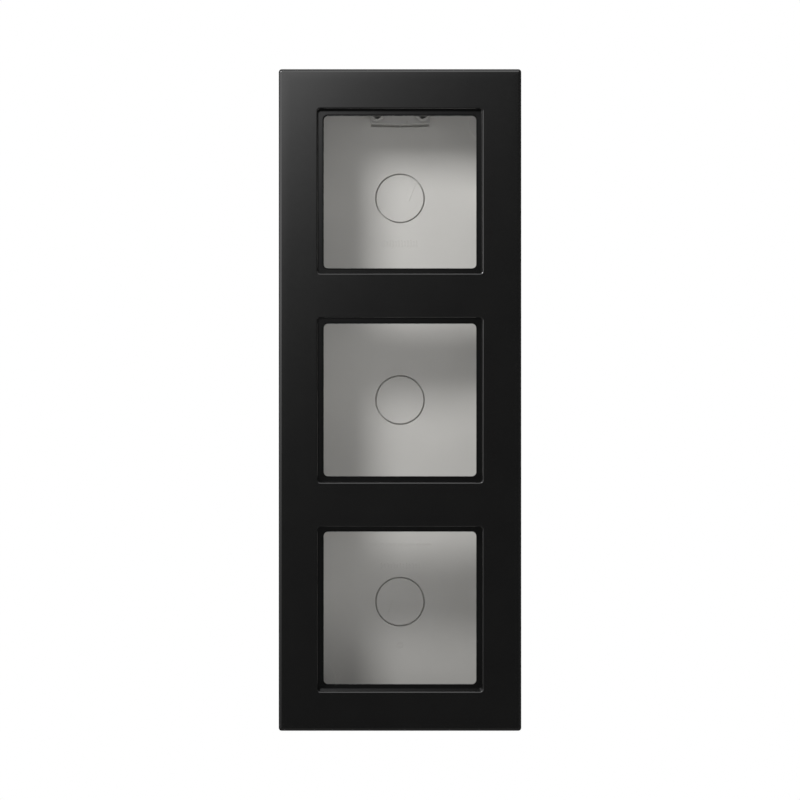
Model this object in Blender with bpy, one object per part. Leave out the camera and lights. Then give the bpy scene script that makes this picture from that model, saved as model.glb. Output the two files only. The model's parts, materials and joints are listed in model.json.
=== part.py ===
"""Three-gang surface housing with its cover frame, for square switch and socket inserts.

The wall is the plane y = 0, the front faces -Y and +Z is up. Every length is in metres.
The origin is the centre of the base plate's back face.
"""

import math

import bmesh
import bpy
from mathutils import Matrix, Vector

# Gangs, one above the other.
GANG_COUNT = 3
GANG_PITCH = 0.0710

# Overall depth, and the gap that pieces which touch keep.
FRONT_Y = -0.0475
CONTACT_GAP = 0.0003
OVERSHOOT = 0.0005

# Cover frame.
FRAME_WIDTH = 0.0824
FRAME_LENGTH = 0.2248
FRAME_DEPTH = 0.0090
FRAME_CORNER = 0.0010
FRAME_FILLET = 0.0007
FRAME_WALL = 0.0018
FRAME_FACE = 0.0020
WINDOW = 0.0560
WINDOW_CORNER = 0.0009
WINDOW_CHAMFER = 0.00055
LEDGE_DEPTH = 0.0064
LEDGE_THICKNESS = 0.0023
LEDGE_OPENING = 0.0522
LEDGE_CORNER = 0.0015
COLLAR_WALL = 0.0015
FRAME_RIB = 0.0010
FRAME_RIB_HEIGHT = 0.0045
FRAME_RIB_OFFSET = 0.0180
PEG_RADIUS = 0.0016
PEG_TIP_RADIUS = 0.0012
PEG_TIP = 0.0010
PEG_X = 0.0345
PEG_REACH = 0.0052
PEG_END_Z = 0.1060

# Housing shell.
SHELL_WIDTH = 0.0816
SHELL_LENGTH = 0.2240
SHELL_CORNER = 0.0012
SHELL_INNER_CORNER = 0.0005
SHELL_WALL = 0.0020
FLANGE_THICKNESS = 0.0020
FLANGE_OPENING_WIDTH = 0.0670
FLANGE_OPENING_HEIGHT = 0.0620
FLANGE_OPENING_CORNER = 0.0030
SPIGOT_WALL = 0.0012
SPIGOT_HEIGHT = 0.0020
SHELL_RIB = 0.0012
SHELL_RIB_REACH = 0.0028
SHELL_RIB_OFFSET = 0.0035
SHELL_RIB_REAR_Y = -0.0090

# Cable entries that slide in the housing's end walls.
ENTRY_SLOT_HALF = 0.0130
ENTRY_SLOT_Y = -0.0203
ENTRY_PLATE_HALF = 0.0150
ENTRY_PLATE_THICKNESS = 0.0012
ENTRY_PLATE_Y = -0.0225
ENTRY_REAR_Y = -0.0005
ENTRY_RING_RADII = (0.0050, 0.0080, 0.0110)
ENTRY_RING_WIDTH = 0.0005
ENTRY_RING_DEPTH = 0.0006
ENTRY_GRIP_HALF = 0.0080
ENTRY_GRIP_YS = (-0.0180, -0.0160)
ENTRY_GRIP = 0.0008
RAIL_WALL = 0.0014
RAIL_LIP_HALF = 0.0134

# Base plate.
BASE_CLEARANCE = 0.0004
BASE_THICKNESS = 0.0025
BASE_CORNER = 0.0010
RIM_WALL = 0.0014
RIM_HEIGHT = 0.0075
BASE_NOTCH_HALF = 0.0172
BASE_NOTCH_Z = 0.1065
KNOCKOUT_RADIUS = 0.0085
KNOCKOUT_GROOVE = 0.00045
KNOCKOUT_FRONT_DEPTH = 0.0013
KNOCKOUT_REAR_DEPTH = 0.0007
KNOCKOUT_REAR_GROOVE = 0.0010
PADS = [((0.0312, 0.0978), 0.0072), ((-0.0310, -0.0992), 0.0084)]
PAD_HEIGHT = 0.0012
WALL_SLOT_WIDTH = 0.0050
WALL_SLOT_LENGTH = 0.0095
CATCH_HALF = 0.0025
CATCH_HEIGHT = 0.0120
CATCH_NOSE = 0.00025
CATCH_NOSE_LENGTH = 0.0014

# Device screws and the posts that they are driven into.
SCREW_X = 0.0300
POST_RADIUS = 0.0029
POST_TOP_Y = -0.0270
POST_BORE_RADIUS = 0.0018
POST_BORE_Y = -0.0070
GUSSET = 0.0010
GUSSET_REACH = 0.0060
GUSSET_HEIGHT = 0.0120
SCREW_HEAD_RADIUS = 0.0028
SCREW_HEAD = 0.0022
SCREW_RADIUS = 0.0015
SCREW_LENGTH = 0.0180
SCREW_SLOT = 0.0008
SCREW_SLOT_DEPTH = 0.0011
SCREW_CROSS = 0.0034
SCREW_CROSS_DEPTH = 0.0016

# Strain relief at the upper cable entry.
CLAMP_SCREW_X = 0.0080
CLAMP_SCREW_Z = 0.1000
CLAMP_BOSS_RADIUS = 0.0026
CLAMP_BOSS_Y = -0.0075
CLAMP_BORE_RADIUS = 0.0010
CLAMP_BORE_Y = -0.0010
CLAMP_RIB_X = 0.0134
CLAMP_RIB_Y = -0.0045
FLOOR_GROOVE = [(0.0003, 0.0960), (0.0103, 0.0962), (0.0103, 0.0971), (0.0003, 0.0966)]
FLOOR_GROOVE_DEPTH = 0.0015
BAR_Z = 0.0997
BAR_LENGTH = 0.0212
BAR_WIDTH = 0.0062
BAR_CORNER = 0.0012
BAR_THICKNESS = 0.0030
BAR_GAP = 0.0004
BAR_BULGE = 0.00045
BAR_BULGE_HALF = 0.0060
BAR_TOOTH = 0.0006
BAR_TOOTH_HALF = 0.0050
BAR_TOOTH_OFFSET = 0.0015
COLLAR_TOP_RADIUS = 0.0019
COLLAR_FOOT_RADIUS = 0.0025
COLLAR_HEIGHT = 0.0007
COUNTERBORE_RADIUS = 0.00165
COUNTERBORE_DEPTH = 0.0009
CLAMP_HEAD_RADIUS = 0.0012
CLAMP_HEAD = 0.0012
CLAMP_SHANK_RADIUS = 0.0007
CLAMP_SHANK = 0.0080
CLAMP_CROSS = 0.0015
CLAMP_CROSS_WIDTH = 0.0004
CLAMP_CROSS_DEPTH = 0.0007

# Facets of rounded edges and round pieces.
FILLET_STEPS = 3
CORNER_STEPS = 3
ROUND_STEPS = 20
KNOCKOUT_STEPS = 32

# Planes and edges that follow from the sizes above.
FRAME_REAR_Y = FRONT_Y + FRAME_DEPTH
LEDGE_Y = FRONT_Y + LEDGE_DEPTH
COLLAR_REAR_Y = LEDGE_Y + LEDGE_THICKNESS
SHELL_FRONT_Y = FRAME_REAR_Y + CONTACT_GAP
FLANGE_REAR_Y = SHELL_FRONT_Y + FLANGE_THICKNESS
SHELL_REAR_Y = -CONTACT_GAP
PEG_TIP_Y = SHELL_FRONT_Y + PEG_REACH
INNER_X = SHELL_WIDTH / 2 - SHELL_WALL
INNER_Z = SHELL_LENGTH / 2 - SHELL_WALL
BASE_X = INNER_X - BASE_CLEARANCE
BASE_Z = INNER_Z - BASE_CLEARANCE
BAR_REAR_Y = CLAMP_BOSS_Y - BAR_GAP
BAR_FRONT_Y = BAR_REAR_Y - BAR_THICKNESS
BAR_COLLAR_Y = BAR_FRONT_Y - COLLAR_HEIGHT
COUNTERBORE_Y = BAR_FRONT_Y + COUNTERBORE_DEPTH
ENTRY_PLATE_FACE = CONTACT_GAP + ENTRY_PLATE_THICKNESS
GANG_ZS = [GANG_PITCH * (gang - (GANG_COUNT - 1) / 2) for gang in range(GANG_COUNT)]
CROSSBAR_ZS = [(low + high) / 2 for low, high in zip(GANG_ZS, GANG_ZS[1:])]


def clear_scene():
    for obj in list(bpy.data.objects):
        bpy.data.objects.remove(obj, do_unlink=True)


def plastic_or_metal(name, colour, roughness, metallic=0.0):
    material = bpy.data.materials.new(name)
    material.use_nodes = True
    shader = material.node_tree.nodes["Principled BSDF"]
    shader.inputs["Base Color"].default_value = (*colour, 1.0)
    shader.inputs["Roughness"].default_value = roughness
    shader.inputs["Metallic"].default_value = metallic
    return material


def circle(radius, centre=(0.0, 0.0), steps=ROUND_STEPS):
    turns = [2 * math.pi * step / steps for step in range(steps)]
    return [(centre[0] + radius * math.cos(a), centre[1] + radius * math.sin(a)) for a in turns]


def rounded_rectangle(width, height, radius, centre=(0.0, 0.0)):
    """Outline points, anticlockwise from the lower right corner, with CORNER_STEPS per corner."""
    points = []
    for quarter, (side_x, side_z) in enumerate(((1, -1), (1, 1), (-1, 1), (-1, -1))):
        middle_x = centre[0] + side_x * (width / 2 - radius)
        middle_z = centre[1] + side_z * (height / 2 - radius)
        for step in range(CORNER_STEPS + 1):
            turn = math.pi / 2 * (quarter - 1 + step / CORNER_STEPS)
            points.append((middle_x + radius * math.cos(turn), middle_z + radius * math.sin(turn)))
    return points


def at_depth(outline, y):
    return [(x, y, z) for x, z in outline]


def at_height(outline, z):
    return [(x, y, z) for x, y in outline]


def add_object(name, bm):
    bmesh.ops.recalc_face_normals(bm, faces=bm.faces)
    mesh = bpy.data.meshes.new(name)
    bm.to_mesh(mesh)
    bm.free()
    obj = bpy.data.objects.new(name, mesh)
    bpy.context.scene.collection.objects.link(obj)
    return obj


def bridge(bm, first, second):
    for index, corner in enumerate(first):
        following = (index + 1) % len(first)
        bm.faces.new((corner, first[following], second[following], second[index]))


def loft(name, rings):
    """A closed solid through rings that hold the same number of points."""
    bm = bmesh.new()
    loops = [[bm.verts.new(point) for point in ring] for ring in rings]
    for first, second in zip(loops, loops[1:]):
        bridge(bm, first, second)
    bm.faces.new(loops[0])
    bm.faces.new(loops[-1])
    return add_object(name, bm)


def tube(name, inner_rings, outer_rings):
    """A closed hollow sleeve between two inner rings and two outer rings."""
    bm = bmesh.new()
    rings = (inner_rings[0], outer_rings[0], outer_rings[1], inner_rings[1])
    loops = [[bm.verts.new(point) for point in ring] for ring in rings]
    for index, loop in enumerate(loops):
        bridge(bm, loop, loops[(index + 1) % len(loops)])
    return add_object(name, bm)


def prism(name, outline, y_first, y_last):
    return loft(name, [at_depth(outline, y_first), at_depth(outline, y_last)])


def block(name, xs, ys, zs):
    outline = [(xs[0], zs[0]), (xs[1], zs[0]), (xs[1], zs[1]), (xs[0], zs[1])]
    return prism(name, outline, *ys)


def turned(name, profile, centre=(0.0, 0.0), steps=ROUND_STEPS):
    """A round solid along Y from (radius, y) pairs."""
    return loft(name, [at_depth(circle(radius, centre, steps), y) for radius, y in profile])


def combine(body, tools, operation):
    """Unites the tools with the body, or cuts them from it, and removes them."""
    for tool in tools:
        modifier = body.modifiers.new(tool.name, "BOOLEAN")
        modifier.operation = operation
        modifier.solver = "EXACT"
        modifier.object = tool
    bpy.context.view_layer.update()
    graph = bpy.context.evaluated_depsgraph_get()
    mesh = bpy.data.meshes.new_from_object(body.evaluated_get(graph))
    mesh.name = body.name
    body.modifiers.clear()
    body.data = mesh
    for tool in tools:
        bpy.data.objects.remove(tool, do_unlink=True)
    return body


def finish(body, material, origin=(0.0, 0.0, 0.0), parent=None):
    """Names the surface, puts the origin on the joint's axis and smooths the round faces."""
    body.data.materials.clear()
    body.data.materials.append(material)
    body.data.transform(Matrix.Translation(-Vector(origin)))
    body.location = origin
    body.data.shade_smooth()
    body.data.set_sharp_from_angle(angle=math.radians(30))
    bpy.context.view_layer.update()
    if parent is not None:
        body.parent = parent
        body.matrix_parent_inverse = parent.matrix_world.inverted()
    return body


def make_cover_frame():
    rings = [at_depth(rounded_rectangle(FRAME_WIDTH, FRAME_LENGTH, FRAME_CORNER), FRAME_REAR_Y)]
    for step in range(FILLET_STEPS + 1):
        turn = math.pi / 2 * step / FILLET_STEPS
        inset = FRAME_FILLET * (1 - math.cos(turn))
        outline = rounded_rectangle(
            FRAME_WIDTH - 2 * inset, FRAME_LENGTH - 2 * inset, FRAME_CORNER - inset
        )
        rings.append(at_depth(outline, FRONT_Y + FRAME_FILLET * (1 - math.sin(turn))))
    frame = loft("cover_frame", rings)
    inner_x = FRAME_WIDTH / 2 - FRAME_WALL
    inner_z = FRAME_LENGTH / 2 - FRAME_WALL
    hollow = rounded_rectangle(2 * inner_x, 2 * inner_z, SHELL_INNER_CORNER)
    face_y = FRONT_Y + FRAME_FACE
    combine(frame, [prism("hollow", hollow, face_y, FRAME_REAR_Y + OVERSHOOT)], "DIFFERENCE")
    collar = WINDOW + 2 * COLLAR_WALL
    additions = []
    for z in GANG_ZS:
        outline = rounded_rectangle(collar, collar, WINDOW_CORNER + COLLAR_WALL, (0.0, z))
        additions.append(prism("collar", outline, face_y - OVERSHOOT, COLLAR_REAR_Y))
    additions += frame_ribs(collar / 2, inner_x, inner_z)
    additions += frame_pegs(face_y)
    combine(frame, additions, "UNION")
    combine(frame, frame_windows(), "DIFFERENCE")
    return frame


def frame_ribs(collar_half, inner_x, inner_z):
    """Ribs behind the face, from each collar to the outer walls and to the next collar."""
    ys = (FRONT_Y + FRAME_FACE - OVERSHOOT, FRONT_Y + FRAME_FACE + FRAME_RIB_HEIGHT)
    ribs = []
    for side in (-1, 1):
        spans = [(low + collar_half, high - collar_half) for low, high in zip(GANG_ZS, GANG_ZS[1:])]
        spans += [(-inner_z, GANG_ZS[0] - collar_half), (GANG_ZS[-1] + collar_half, inner_z)]
        middle_x = side * FRAME_RIB_OFFSET
        xs = (middle_x - FRAME_RIB / 2, middle_x + FRAME_RIB / 2)
        for low, high in spans:
            ribs.append(block("rib", xs, ys, (low - OVERSHOOT, high + OVERSHOOT)))
        xs = (side * (collar_half - OVERSHOOT), side * (inner_x + OVERSHOOT))
        for gang_z in GANG_ZS:
            for offset in (-FRAME_RIB_OFFSET, FRAME_RIB_OFFSET):
                middle_z = gang_z + offset
                zs = (middle_z - FRAME_RIB / 2, middle_z + FRAME_RIB / 2)
                ribs.append(block("rib", xs, ys, zs))
    return ribs


def peg_places():
    heights = [-PEG_END_Z, *CROSSBAR_ZS, PEG_END_Z]
    return [(side * PEG_X, z) for side in (-1, 1) for z in heights]


def frame_pegs(face_y):
    profile = [
        (PEG_RADIUS, face_y - OVERSHOOT),
        (PEG_RADIUS, PEG_TIP_Y - PEG_TIP),
        (PEG_TIP_RADIUS, PEG_TIP_Y),
    ]
    return [turned("peg", profile, place, 12) for place in peg_places()]


def frame_windows():
    """Cutters for each window, its chamfered mouth and the narrower opening of its ledge."""
    cutters = []
    for z in GANG_ZS:
        rings = []
        for grow, y in (
            (WINDOW_CHAMFER + OVERSHOOT, FRONT_Y - OVERSHOOT),
            (0.0, FRONT_Y + WINDOW_CHAMFER),
            (0.0, LEDGE_Y),
        ):
            size = WINDOW + 2 * grow
            rings.append(at_depth(rounded_rectangle(size, size, WINDOW_CORNER + grow, (0.0, z)), y))
        cutters.append(loft("window", rings))
        opening = rounded_rectangle(LEDGE_OPENING, LEDGE_OPENING, LEDGE_CORNER, (0.0, z))
        ys = (LEDGE_Y - OVERSHOOT, COLLAR_REAR_Y + OVERSHOOT)
        cutters.append(prism("ledge_opening", opening, *ys))
    return cutters


def make_housing_shell():
    outline = rounded_rectangle(SHELL_WIDTH, SHELL_LENGTH, SHELL_CORNER)
    shell = prism("housing_shell", outline, SHELL_REAR_Y, SHELL_FRONT_Y)
    hollow = rounded_rectangle(2 * INNER_X, 2 * INNER_Z, SHELL_INNER_CORNER)
    cutters = [prism("hollow", hollow, FLANGE_REAR_Y, SHELL_REAR_Y + OVERSHOOT)]
    combine(shell, cutters, "DIFFERENCE")
    combine(shell, [shell_spigot(), *shell_ribs(), *entry_rails(-1), *entry_rails(1)], "UNION")
    through_flange = (SHELL_FRONT_Y - SPIGOT_HEIGHT, FLANGE_REAR_Y + OVERSHOOT)
    cutters = []
    for z in GANG_ZS:
        outline = rounded_rectangle(
            FLANGE_OPENING_WIDTH, FLANGE_OPENING_HEIGHT, FLANGE_OPENING_CORNER, (0.0, z)
        )
        cutters.append(prism("flange_opening", outline, *through_flange))
    for place in peg_places():
        hole = circle(PEG_RADIUS + CONTACT_GAP, place, 12)
        cutters.append(prism("peg_hole", hole, *through_flange))
    for side in (-1, 1):
        zs = (side * (INNER_Z - OVERSHOOT), side * (SHELL_LENGTH / 2 + OVERSHOOT))
        ys = (ENTRY_SLOT_Y, SHELL_REAR_Y + OVERSHOOT)
        cutters.append(block("entry_slot", (-ENTRY_SLOT_HALF, ENTRY_SLOT_HALF), ys, zs))
        cutters += catch_pockets(side)
    return combine(shell, cutters, "DIFFERENCE")


def shell_spigot():
    """The raised ring that the cover frame's outer wall drops over."""
    width = FRAME_WIDTH - 2 * (FRAME_WALL + CONTACT_GAP)
    length = FRAME_LENGTH - 2 * (FRAME_WALL + CONTACT_GAP)
    outer = rounded_rectangle(width, length, SHELL_INNER_CORNER)
    inner = rounded_rectangle(
        width - 2 * SPIGOT_WALL, length - 2 * SPIGOT_WALL, SHELL_INNER_CORNER
    )
    ys = (SHELL_FRONT_Y + OVERSHOOT, SHELL_FRONT_Y - SPIGOT_HEIGHT)
    return tube("spigot", [at_depth(inner, y) for y in ys], [at_depth(outer, y) for y in ys])


def shell_ribs():
    """Pairs of gussets under the bars between the gangs."""
    ribs = []
    ys = (FLANGE_REAR_Y - OVERSHOOT, SHELL_RIB_REAR_Y)
    for side in (-1, 1):
        xs = (side * (INNER_X - SHELL_RIB_REACH), side * (INNER_X + OVERSHOOT))
        for bar_z in CROSSBAR_ZS:
            for offset in (-SHELL_RIB_OFFSET, SHELL_RIB_OFFSET):
                middle = bar_z + offset
                ribs.append(block("rib", xs, ys, (middle - SHELL_RIB / 2, middle + SHELL_RIB / 2)))
    return ribs


def rail_heights():
    """Distances along Z of the rail lip's two faces, behind the sliding plate."""
    lip_top = INNER_Z - ENTRY_PLATE_FACE - CONTACT_GAP
    return lip_top - RAIL_WALL, lip_top


def entry_rails(end):
    """Two hooked rails and a front stop, inside the end wall on the side of `end`."""
    low, lip_top = rail_heights()
    leg_inner = ENTRY_PLATE_HALF + CONTACT_GAP
    leg_outer = leg_inner + RAIL_WALL
    stop_y = ENTRY_PLATE_Y - CONTACT_GAP
    ys = (stop_y - RAIL_WALL, SHELL_REAR_Y)
    wall = INNER_Z + OVERSHOOT
    rails = []
    for side in (-1, 1):
        leg_xs = (side * leg_inner, side * leg_outer)
        rails.append(block("rail_leg", leg_xs, ys, (end * low, end * wall)))
        lip_xs = (side * RAIL_LIP_HALF, side * leg_outer)
        rails.append(block("rail_lip", lip_xs, ys, (end * low, end * lip_top)))
    stop_ys = (stop_y - RAIL_WALL, stop_y)
    rails.append(block("rail_stop", (-leg_outer, leg_outer), stop_ys, (end * low, end * wall)))
    return rails


def catch_pockets(side):
    """Shallow pockets in the long walls, opposite the noses of the base plate's catches."""
    xs = (side * (INNER_X - OVERSHOOT), side * (INNER_X + BASE_CLEARANCE))
    nose_y = -CATCH_HEIGHT + CATCH_NOSE_LENGTH / 2
    ys = (nose_y - CATCH_NOSE_LENGTH, nose_y + CATCH_NOSE_LENGTH)
    half = CATCH_HALF + BASE_CLEARANCE
    return [block("pocket", xs, ys, (z - half, z + half)) for z in CROSSBAR_ZS]


def make_cable_entry(name, end):
    """A plate that closes the slot in an end wall, with thin rings to break out for a cable."""
    slot_half = ENTRY_SLOT_HALF - CONTACT_GAP
    outer_z = SHELL_LENGTH / 2
    plate_z = INNER_Z - CONTACT_GAP
    web_zs = (end * (plate_z - OVERSHOOT), end * outer_z)
    ys = (ENTRY_SLOT_Y + CONTACT_GAP, ENTRY_REAR_Y)
    entry = block(name, (-slot_half, slot_half), ys, web_zs)
    plate_zs = (end * (INNER_Z - ENTRY_PLATE_FACE), end * plate_z)
    plate_ys = (ENTRY_PLATE_Y, ENTRY_REAR_Y)
    additions = [block("plate", (-ENTRY_PLATE_HALF, ENTRY_PLATE_HALF), plate_ys, plate_zs)]
    grip_low = INNER_Z - ENTRY_PLATE_FACE - ENTRY_GRIP
    grip_zs = (end * grip_low, end * (grip_low + ENTRY_GRIP + OVERSHOOT))
    for y in ENTRY_GRIP_YS:
        grip_ys = (y - ENTRY_GRIP / 2, y + ENTRY_GRIP / 2)
        additions.append(block("grip", (-ENTRY_GRIP_HALF, ENTRY_GRIP_HALF), grip_ys, grip_zs))
    combine(entry, additions, "UNION")
    zs = (end * (outer_z - ENTRY_RING_DEPTH), end * (outer_z + OVERSHOOT))
    rings = []
    for radius in ENTRY_RING_RADII:
        inner = circle(radius - ENTRY_RING_WIDTH / 2, (0.0, ENTRY_REAR_Y), KNOCKOUT_STEPS)
        outer = circle(radius + ENTRY_RING_WIDTH / 2, (0.0, ENTRY_REAR_Y), KNOCKOUT_STEPS)
        rings.append(
            tube("ring", [at_height(inner, z) for z in zs], [at_height(outer, z) for z in zs])
        )
    return combine(entry, rings, "DIFFERENCE")


def make_base_plate():
    outline = rounded_rectangle(2 * BASE_X, 2 * BASE_Z, BASE_CORNER)
    base = prism("base_plate", outline, 0.0, -RIM_HEIGHT)
    hollow = rounded_rectangle(
        2 * (BASE_X - RIM_WALL), 2 * (BASE_Z - RIM_WALL), SHELL_INNER_CORNER
    )
    cutters = [prism("hollow", hollow, -BASE_THICKNESS, -RIM_HEIGHT - OVERSHOOT)]
    for end in (-1, 1):
        zs = (end * BASE_NOTCH_Z, end * (BASE_Z + OVERSHOOT))
        ys = (OVERSHOOT, -RIM_HEIGHT - OVERSHOOT)
        cutters.append(block("notch", (-BASE_NOTCH_HALF, BASE_NOTCH_HALF), ys, zs))
    combine(base, cutters, "DIFFERENCE")
    additions = [*wall_pads(), *base_catches()]
    for x, z in post_places():
        additions += post(x, z)
    for side in (-1, 1):
        additions += clamp_boss(side)
    combine(base, additions, "UNION")
    return combine(base, base_cutters(), "DIFFERENCE")


def post_places():
    return [(side * SCREW_X, z) for side in (-1, 1) for z in GANG_ZS]


def wall_pads():
    """Round pads around the wall-fixing slots, ending at the rim where they would pass it."""
    reach = BASE_X - RIM_WALL / 2
    pads = []
    for place, radius in PADS:
        outline = [(max(-reach, min(reach, x)), z) for x, z in circle(radius, place, 36)]
        ys = (-BASE_THICKNESS + OVERSHOOT, -BASE_THICKNESS - PAD_HEIGHT)
        pads.append(prism("pad", outline, *ys))
    return pads


def base_catches():
    """Tongues on the rim, each with a low nose towards the housing's wall."""
    catches = []
    for side in (-1, 1):
        for middle in CROSSBAR_ZS:
            zs = (middle - CATCH_HALF, middle + CATCH_HALF)
            xs = (side * (BASE_X - RIM_WALL), side * BASE_X)
            ys = (-RIM_HEIGHT + OVERSHOOT, -CATCH_HEIGHT)
            catches.append(block("tongue", xs, ys, zs))
            profile = [
                (side * (BASE_X - OVERSHOOT), -CATCH_HEIGHT),
                (side * BASE_X, -CATCH_HEIGHT),
                (side * (BASE_X + CATCH_NOSE), -CATCH_HEIGHT + CATCH_NOSE_LENGTH / 2),
                (side * (BASE_X + CATCH_NOSE), -CATCH_HEIGHT + CATCH_NOSE_LENGTH),
                (side * (BASE_X - OVERSHOOT), -CATCH_HEIGHT + CATCH_NOSE_LENGTH),
            ]
            catches.append(loft("nose", [at_height(profile, z) for z in zs]))
    return catches


def gusset(x, z, direction):
    """A triangular rib along Z at the foot of a post."""
    foot_y = -BASE_THICKNESS + OVERSHOOT
    profile = [
        (foot_y, z),
        (foot_y, z + direction * GUSSET_REACH),
        (-BASE_THICKNESS - OVERSHOOT, z + direction * GUSSET_REACH),
        (-BASE_THICKNESS - GUSSET_HEIGHT, z + direction * POST_RADIUS * 0.8),
        (-BASE_THICKNESS - GUSSET_HEIGHT, z),
    ]
    sides = (x - GUSSET / 2, x + GUSSET / 2)
    return loft("gusset", [[(side, y, height) for y, height in profile] for side in sides])


def post(x, z):
    """A device screw post with its gussets and a web to the rim."""
    side = math.copysign(1, x)
    body = turned(
        "post", [(POST_RADIUS, -BASE_THICKNESS + OVERSHOOT), (POST_RADIUS, POST_TOP_Y)], (x, z)
    )
    web_ys = (-BASE_THICKNESS + OVERSHOOT, -RIM_HEIGHT + OVERSHOOT)
    web_xs = (x, side * (BASE_X - RIM_WALL / 2))
    web = block("web", web_xs, web_ys, (z - GUSSET / 2, z + GUSSET / 2))
    return [body, web, gusset(x, z, -1), gusset(x, z, 1)]


def clamp_boss(side):
    """A strain relief boss and the rib beside it."""
    x = side * CLAMP_SCREW_X
    foot_y = -BASE_THICKNESS + OVERSHOOT
    boss = turned(
        "boss", [(CLAMP_BOSS_RADIUS, foot_y), (CLAMP_BOSS_RADIUS, CLAMP_BOSS_Y)], (x, CLAMP_SCREW_Z)
    )
    zs = (CLAMP_SCREW_Z - GUSSET / 2, CLAMP_SCREW_Z + GUSSET / 2)
    return [boss, block("boss_rib", (x, side * CLAMP_RIB_X), (foot_y, CLAMP_RIB_Y), zs)]


def base_cutters():
    cutters = []
    for z in GANG_ZS:
        front_ys = (-BASE_THICKNESS - OVERSHOOT, -BASE_THICKNESS + KNOCKOUT_FRONT_DEPTH)
        cutters.append(knockout_ring(z, KNOCKOUT_GROOVE, front_ys))
        cutters.append(knockout_ring(z, KNOCKOUT_REAR_GROOVE, (OVERSHOOT, -KNOCKOUT_REAR_DEPTH)))
    for place in post_places():
        bore = circle(POST_BORE_RADIUS, place)
        cutters.append(prism("bore", bore, POST_TOP_Y - OVERSHOOT, POST_BORE_Y))
    for side in (-1, 1):
        bore = circle(CLAMP_BORE_RADIUS, (side * CLAMP_SCREW_X, CLAMP_SCREW_Z))
        cutters.append(prism("bore", bore, CLAMP_BOSS_Y - OVERSHOOT, CLAMP_BORE_Y))
        groove = [(side * x, z) for x, z in FLOOR_GROOVE]
        groove_ys = (-BASE_THICKNESS - OVERSHOOT, -BASE_THICKNESS + FLOOR_GROOVE_DEPTH)
        cutters.append(prism("floor_groove", groove, *groove_ys))
    for place, _ in PADS:
        slot = rounded_rectangle(WALL_SLOT_WIDTH, WALL_SLOT_LENGTH, WALL_SLOT_WIDTH * 0.49, place)
        ys = (OVERSHOOT, -BASE_THICKNESS - PAD_HEIGHT - OVERSHOOT)
        cutters.append(prism("slot", slot, *ys))
    return cutters


def knockout_ring(z, width, ys):
    inner = circle(KNOCKOUT_RADIUS - width / 2, (0.0, z), KNOCKOUT_STEPS)
    outer = circle(KNOCKOUT_RADIUS + width / 2, (0.0, z), KNOCKOUT_STEPS)
    return tube("groove", [at_depth(inner, y) for y in ys], [at_depth(outer, y) for y in ys])


def make_strain_relief_bar():
    outline = rounded_rectangle(BAR_LENGTH, BAR_WIDTH, BAR_CORNER, (0.0, BAR_Z))
    lower_z = BAR_Z - BAR_WIDTH / 2
    outline += [(-BAR_BULGE_HALF, lower_z), (0.0, lower_z - BAR_BULGE), (BAR_BULGE_HALF, lower_z)]
    bar = prism("strain_relief_bar", outline, BAR_REAR_Y, BAR_FRONT_Y)
    additions = []
    for offset in (-BAR_TOOTH_OFFSET, BAR_TOOTH_OFFSET):
        z = BAR_Z + offset
        zs = (z - BAR_TOOTH / 2, z + BAR_TOOTH / 2)
        ys = (BAR_REAR_Y - OVERSHOOT, BAR_REAR_Y + BAR_TOOTH)
        additions.append(block("tooth", (-BAR_TOOTH_HALF, BAR_TOOTH_HALF), ys, zs))
    collar = [
        (COLLAR_FOOT_RADIUS, BAR_FRONT_Y + OVERSHOOT),
        (COLLAR_FOOT_RADIUS, BAR_FRONT_Y),
        (COLLAR_TOP_RADIUS, BAR_COLLAR_Y),
    ]
    counterbore = [
        (COUNTERBORE_RADIUS, BAR_COLLAR_Y - OVERSHOOT),
        (COUNTERBORE_RADIUS, COUNTERBORE_Y),
    ]
    hole = [(CLAMP_BORE_RADIUS, COUNTERBORE_Y - OVERSHOOT)]
    hole.append((CLAMP_BORE_RADIUS, BAR_REAR_Y + OVERSHOOT))
    cutters = []
    for side in (-1, 1):
        centre = (side * CLAMP_SCREW_X, CLAMP_SCREW_Z)
        additions.append(turned("collar", collar, centre))
        cutters.append(turned("counterbore", counterbore, centre))
        cutters.append(turned("hole", hole, centre))
    combine(bar, additions, "UNION")
    return combine(bar, cutters, "DIFFERENCE")


def make_device_screw():
    """A slotted cross-head screw: the head's underside is at y = 0 and the tip points to +Y."""
    profile = [
        (SCREW_RADIUS * 0.3, SCREW_LENGTH),
        (SCREW_RADIUS, SCREW_LENGTH - SCREW_RADIUS),
        (SCREW_RADIUS, 0.0),
        (SCREW_HEAD_RADIUS, 0.0),
        (SCREW_HEAD_RADIUS, -SCREW_HEAD * 0.55),
        (SCREW_HEAD_RADIUS * 0.85, -SCREW_HEAD * 0.85),
        (SCREW_HEAD_RADIUS * 0.6, -SCREW_HEAD),
    ]
    screw = turned("device_screw", profile)
    half = SCREW_SLOT / 2
    top = -SCREW_HEAD - OVERSHOOT
    slot_half = SCREW_HEAD_RADIUS + OVERSHOOT
    slot_ys = (top, -SCREW_HEAD + SCREW_SLOT_DEPTH)
    cross_ys = (top, -SCREW_HEAD + SCREW_CROSS_DEPTH)
    arm = SCREW_CROSS / 2
    cutters = [
        block("slot", (-slot_half, slot_half), slot_ys, (-half, half)),
        block("cross", (-arm, arm), cross_ys, (-half, half)),
        block("cross", (-half, half), cross_ys, (-arm, arm)),
    ]
    return combine(screw, cutters, "DIFFERENCE")


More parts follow.
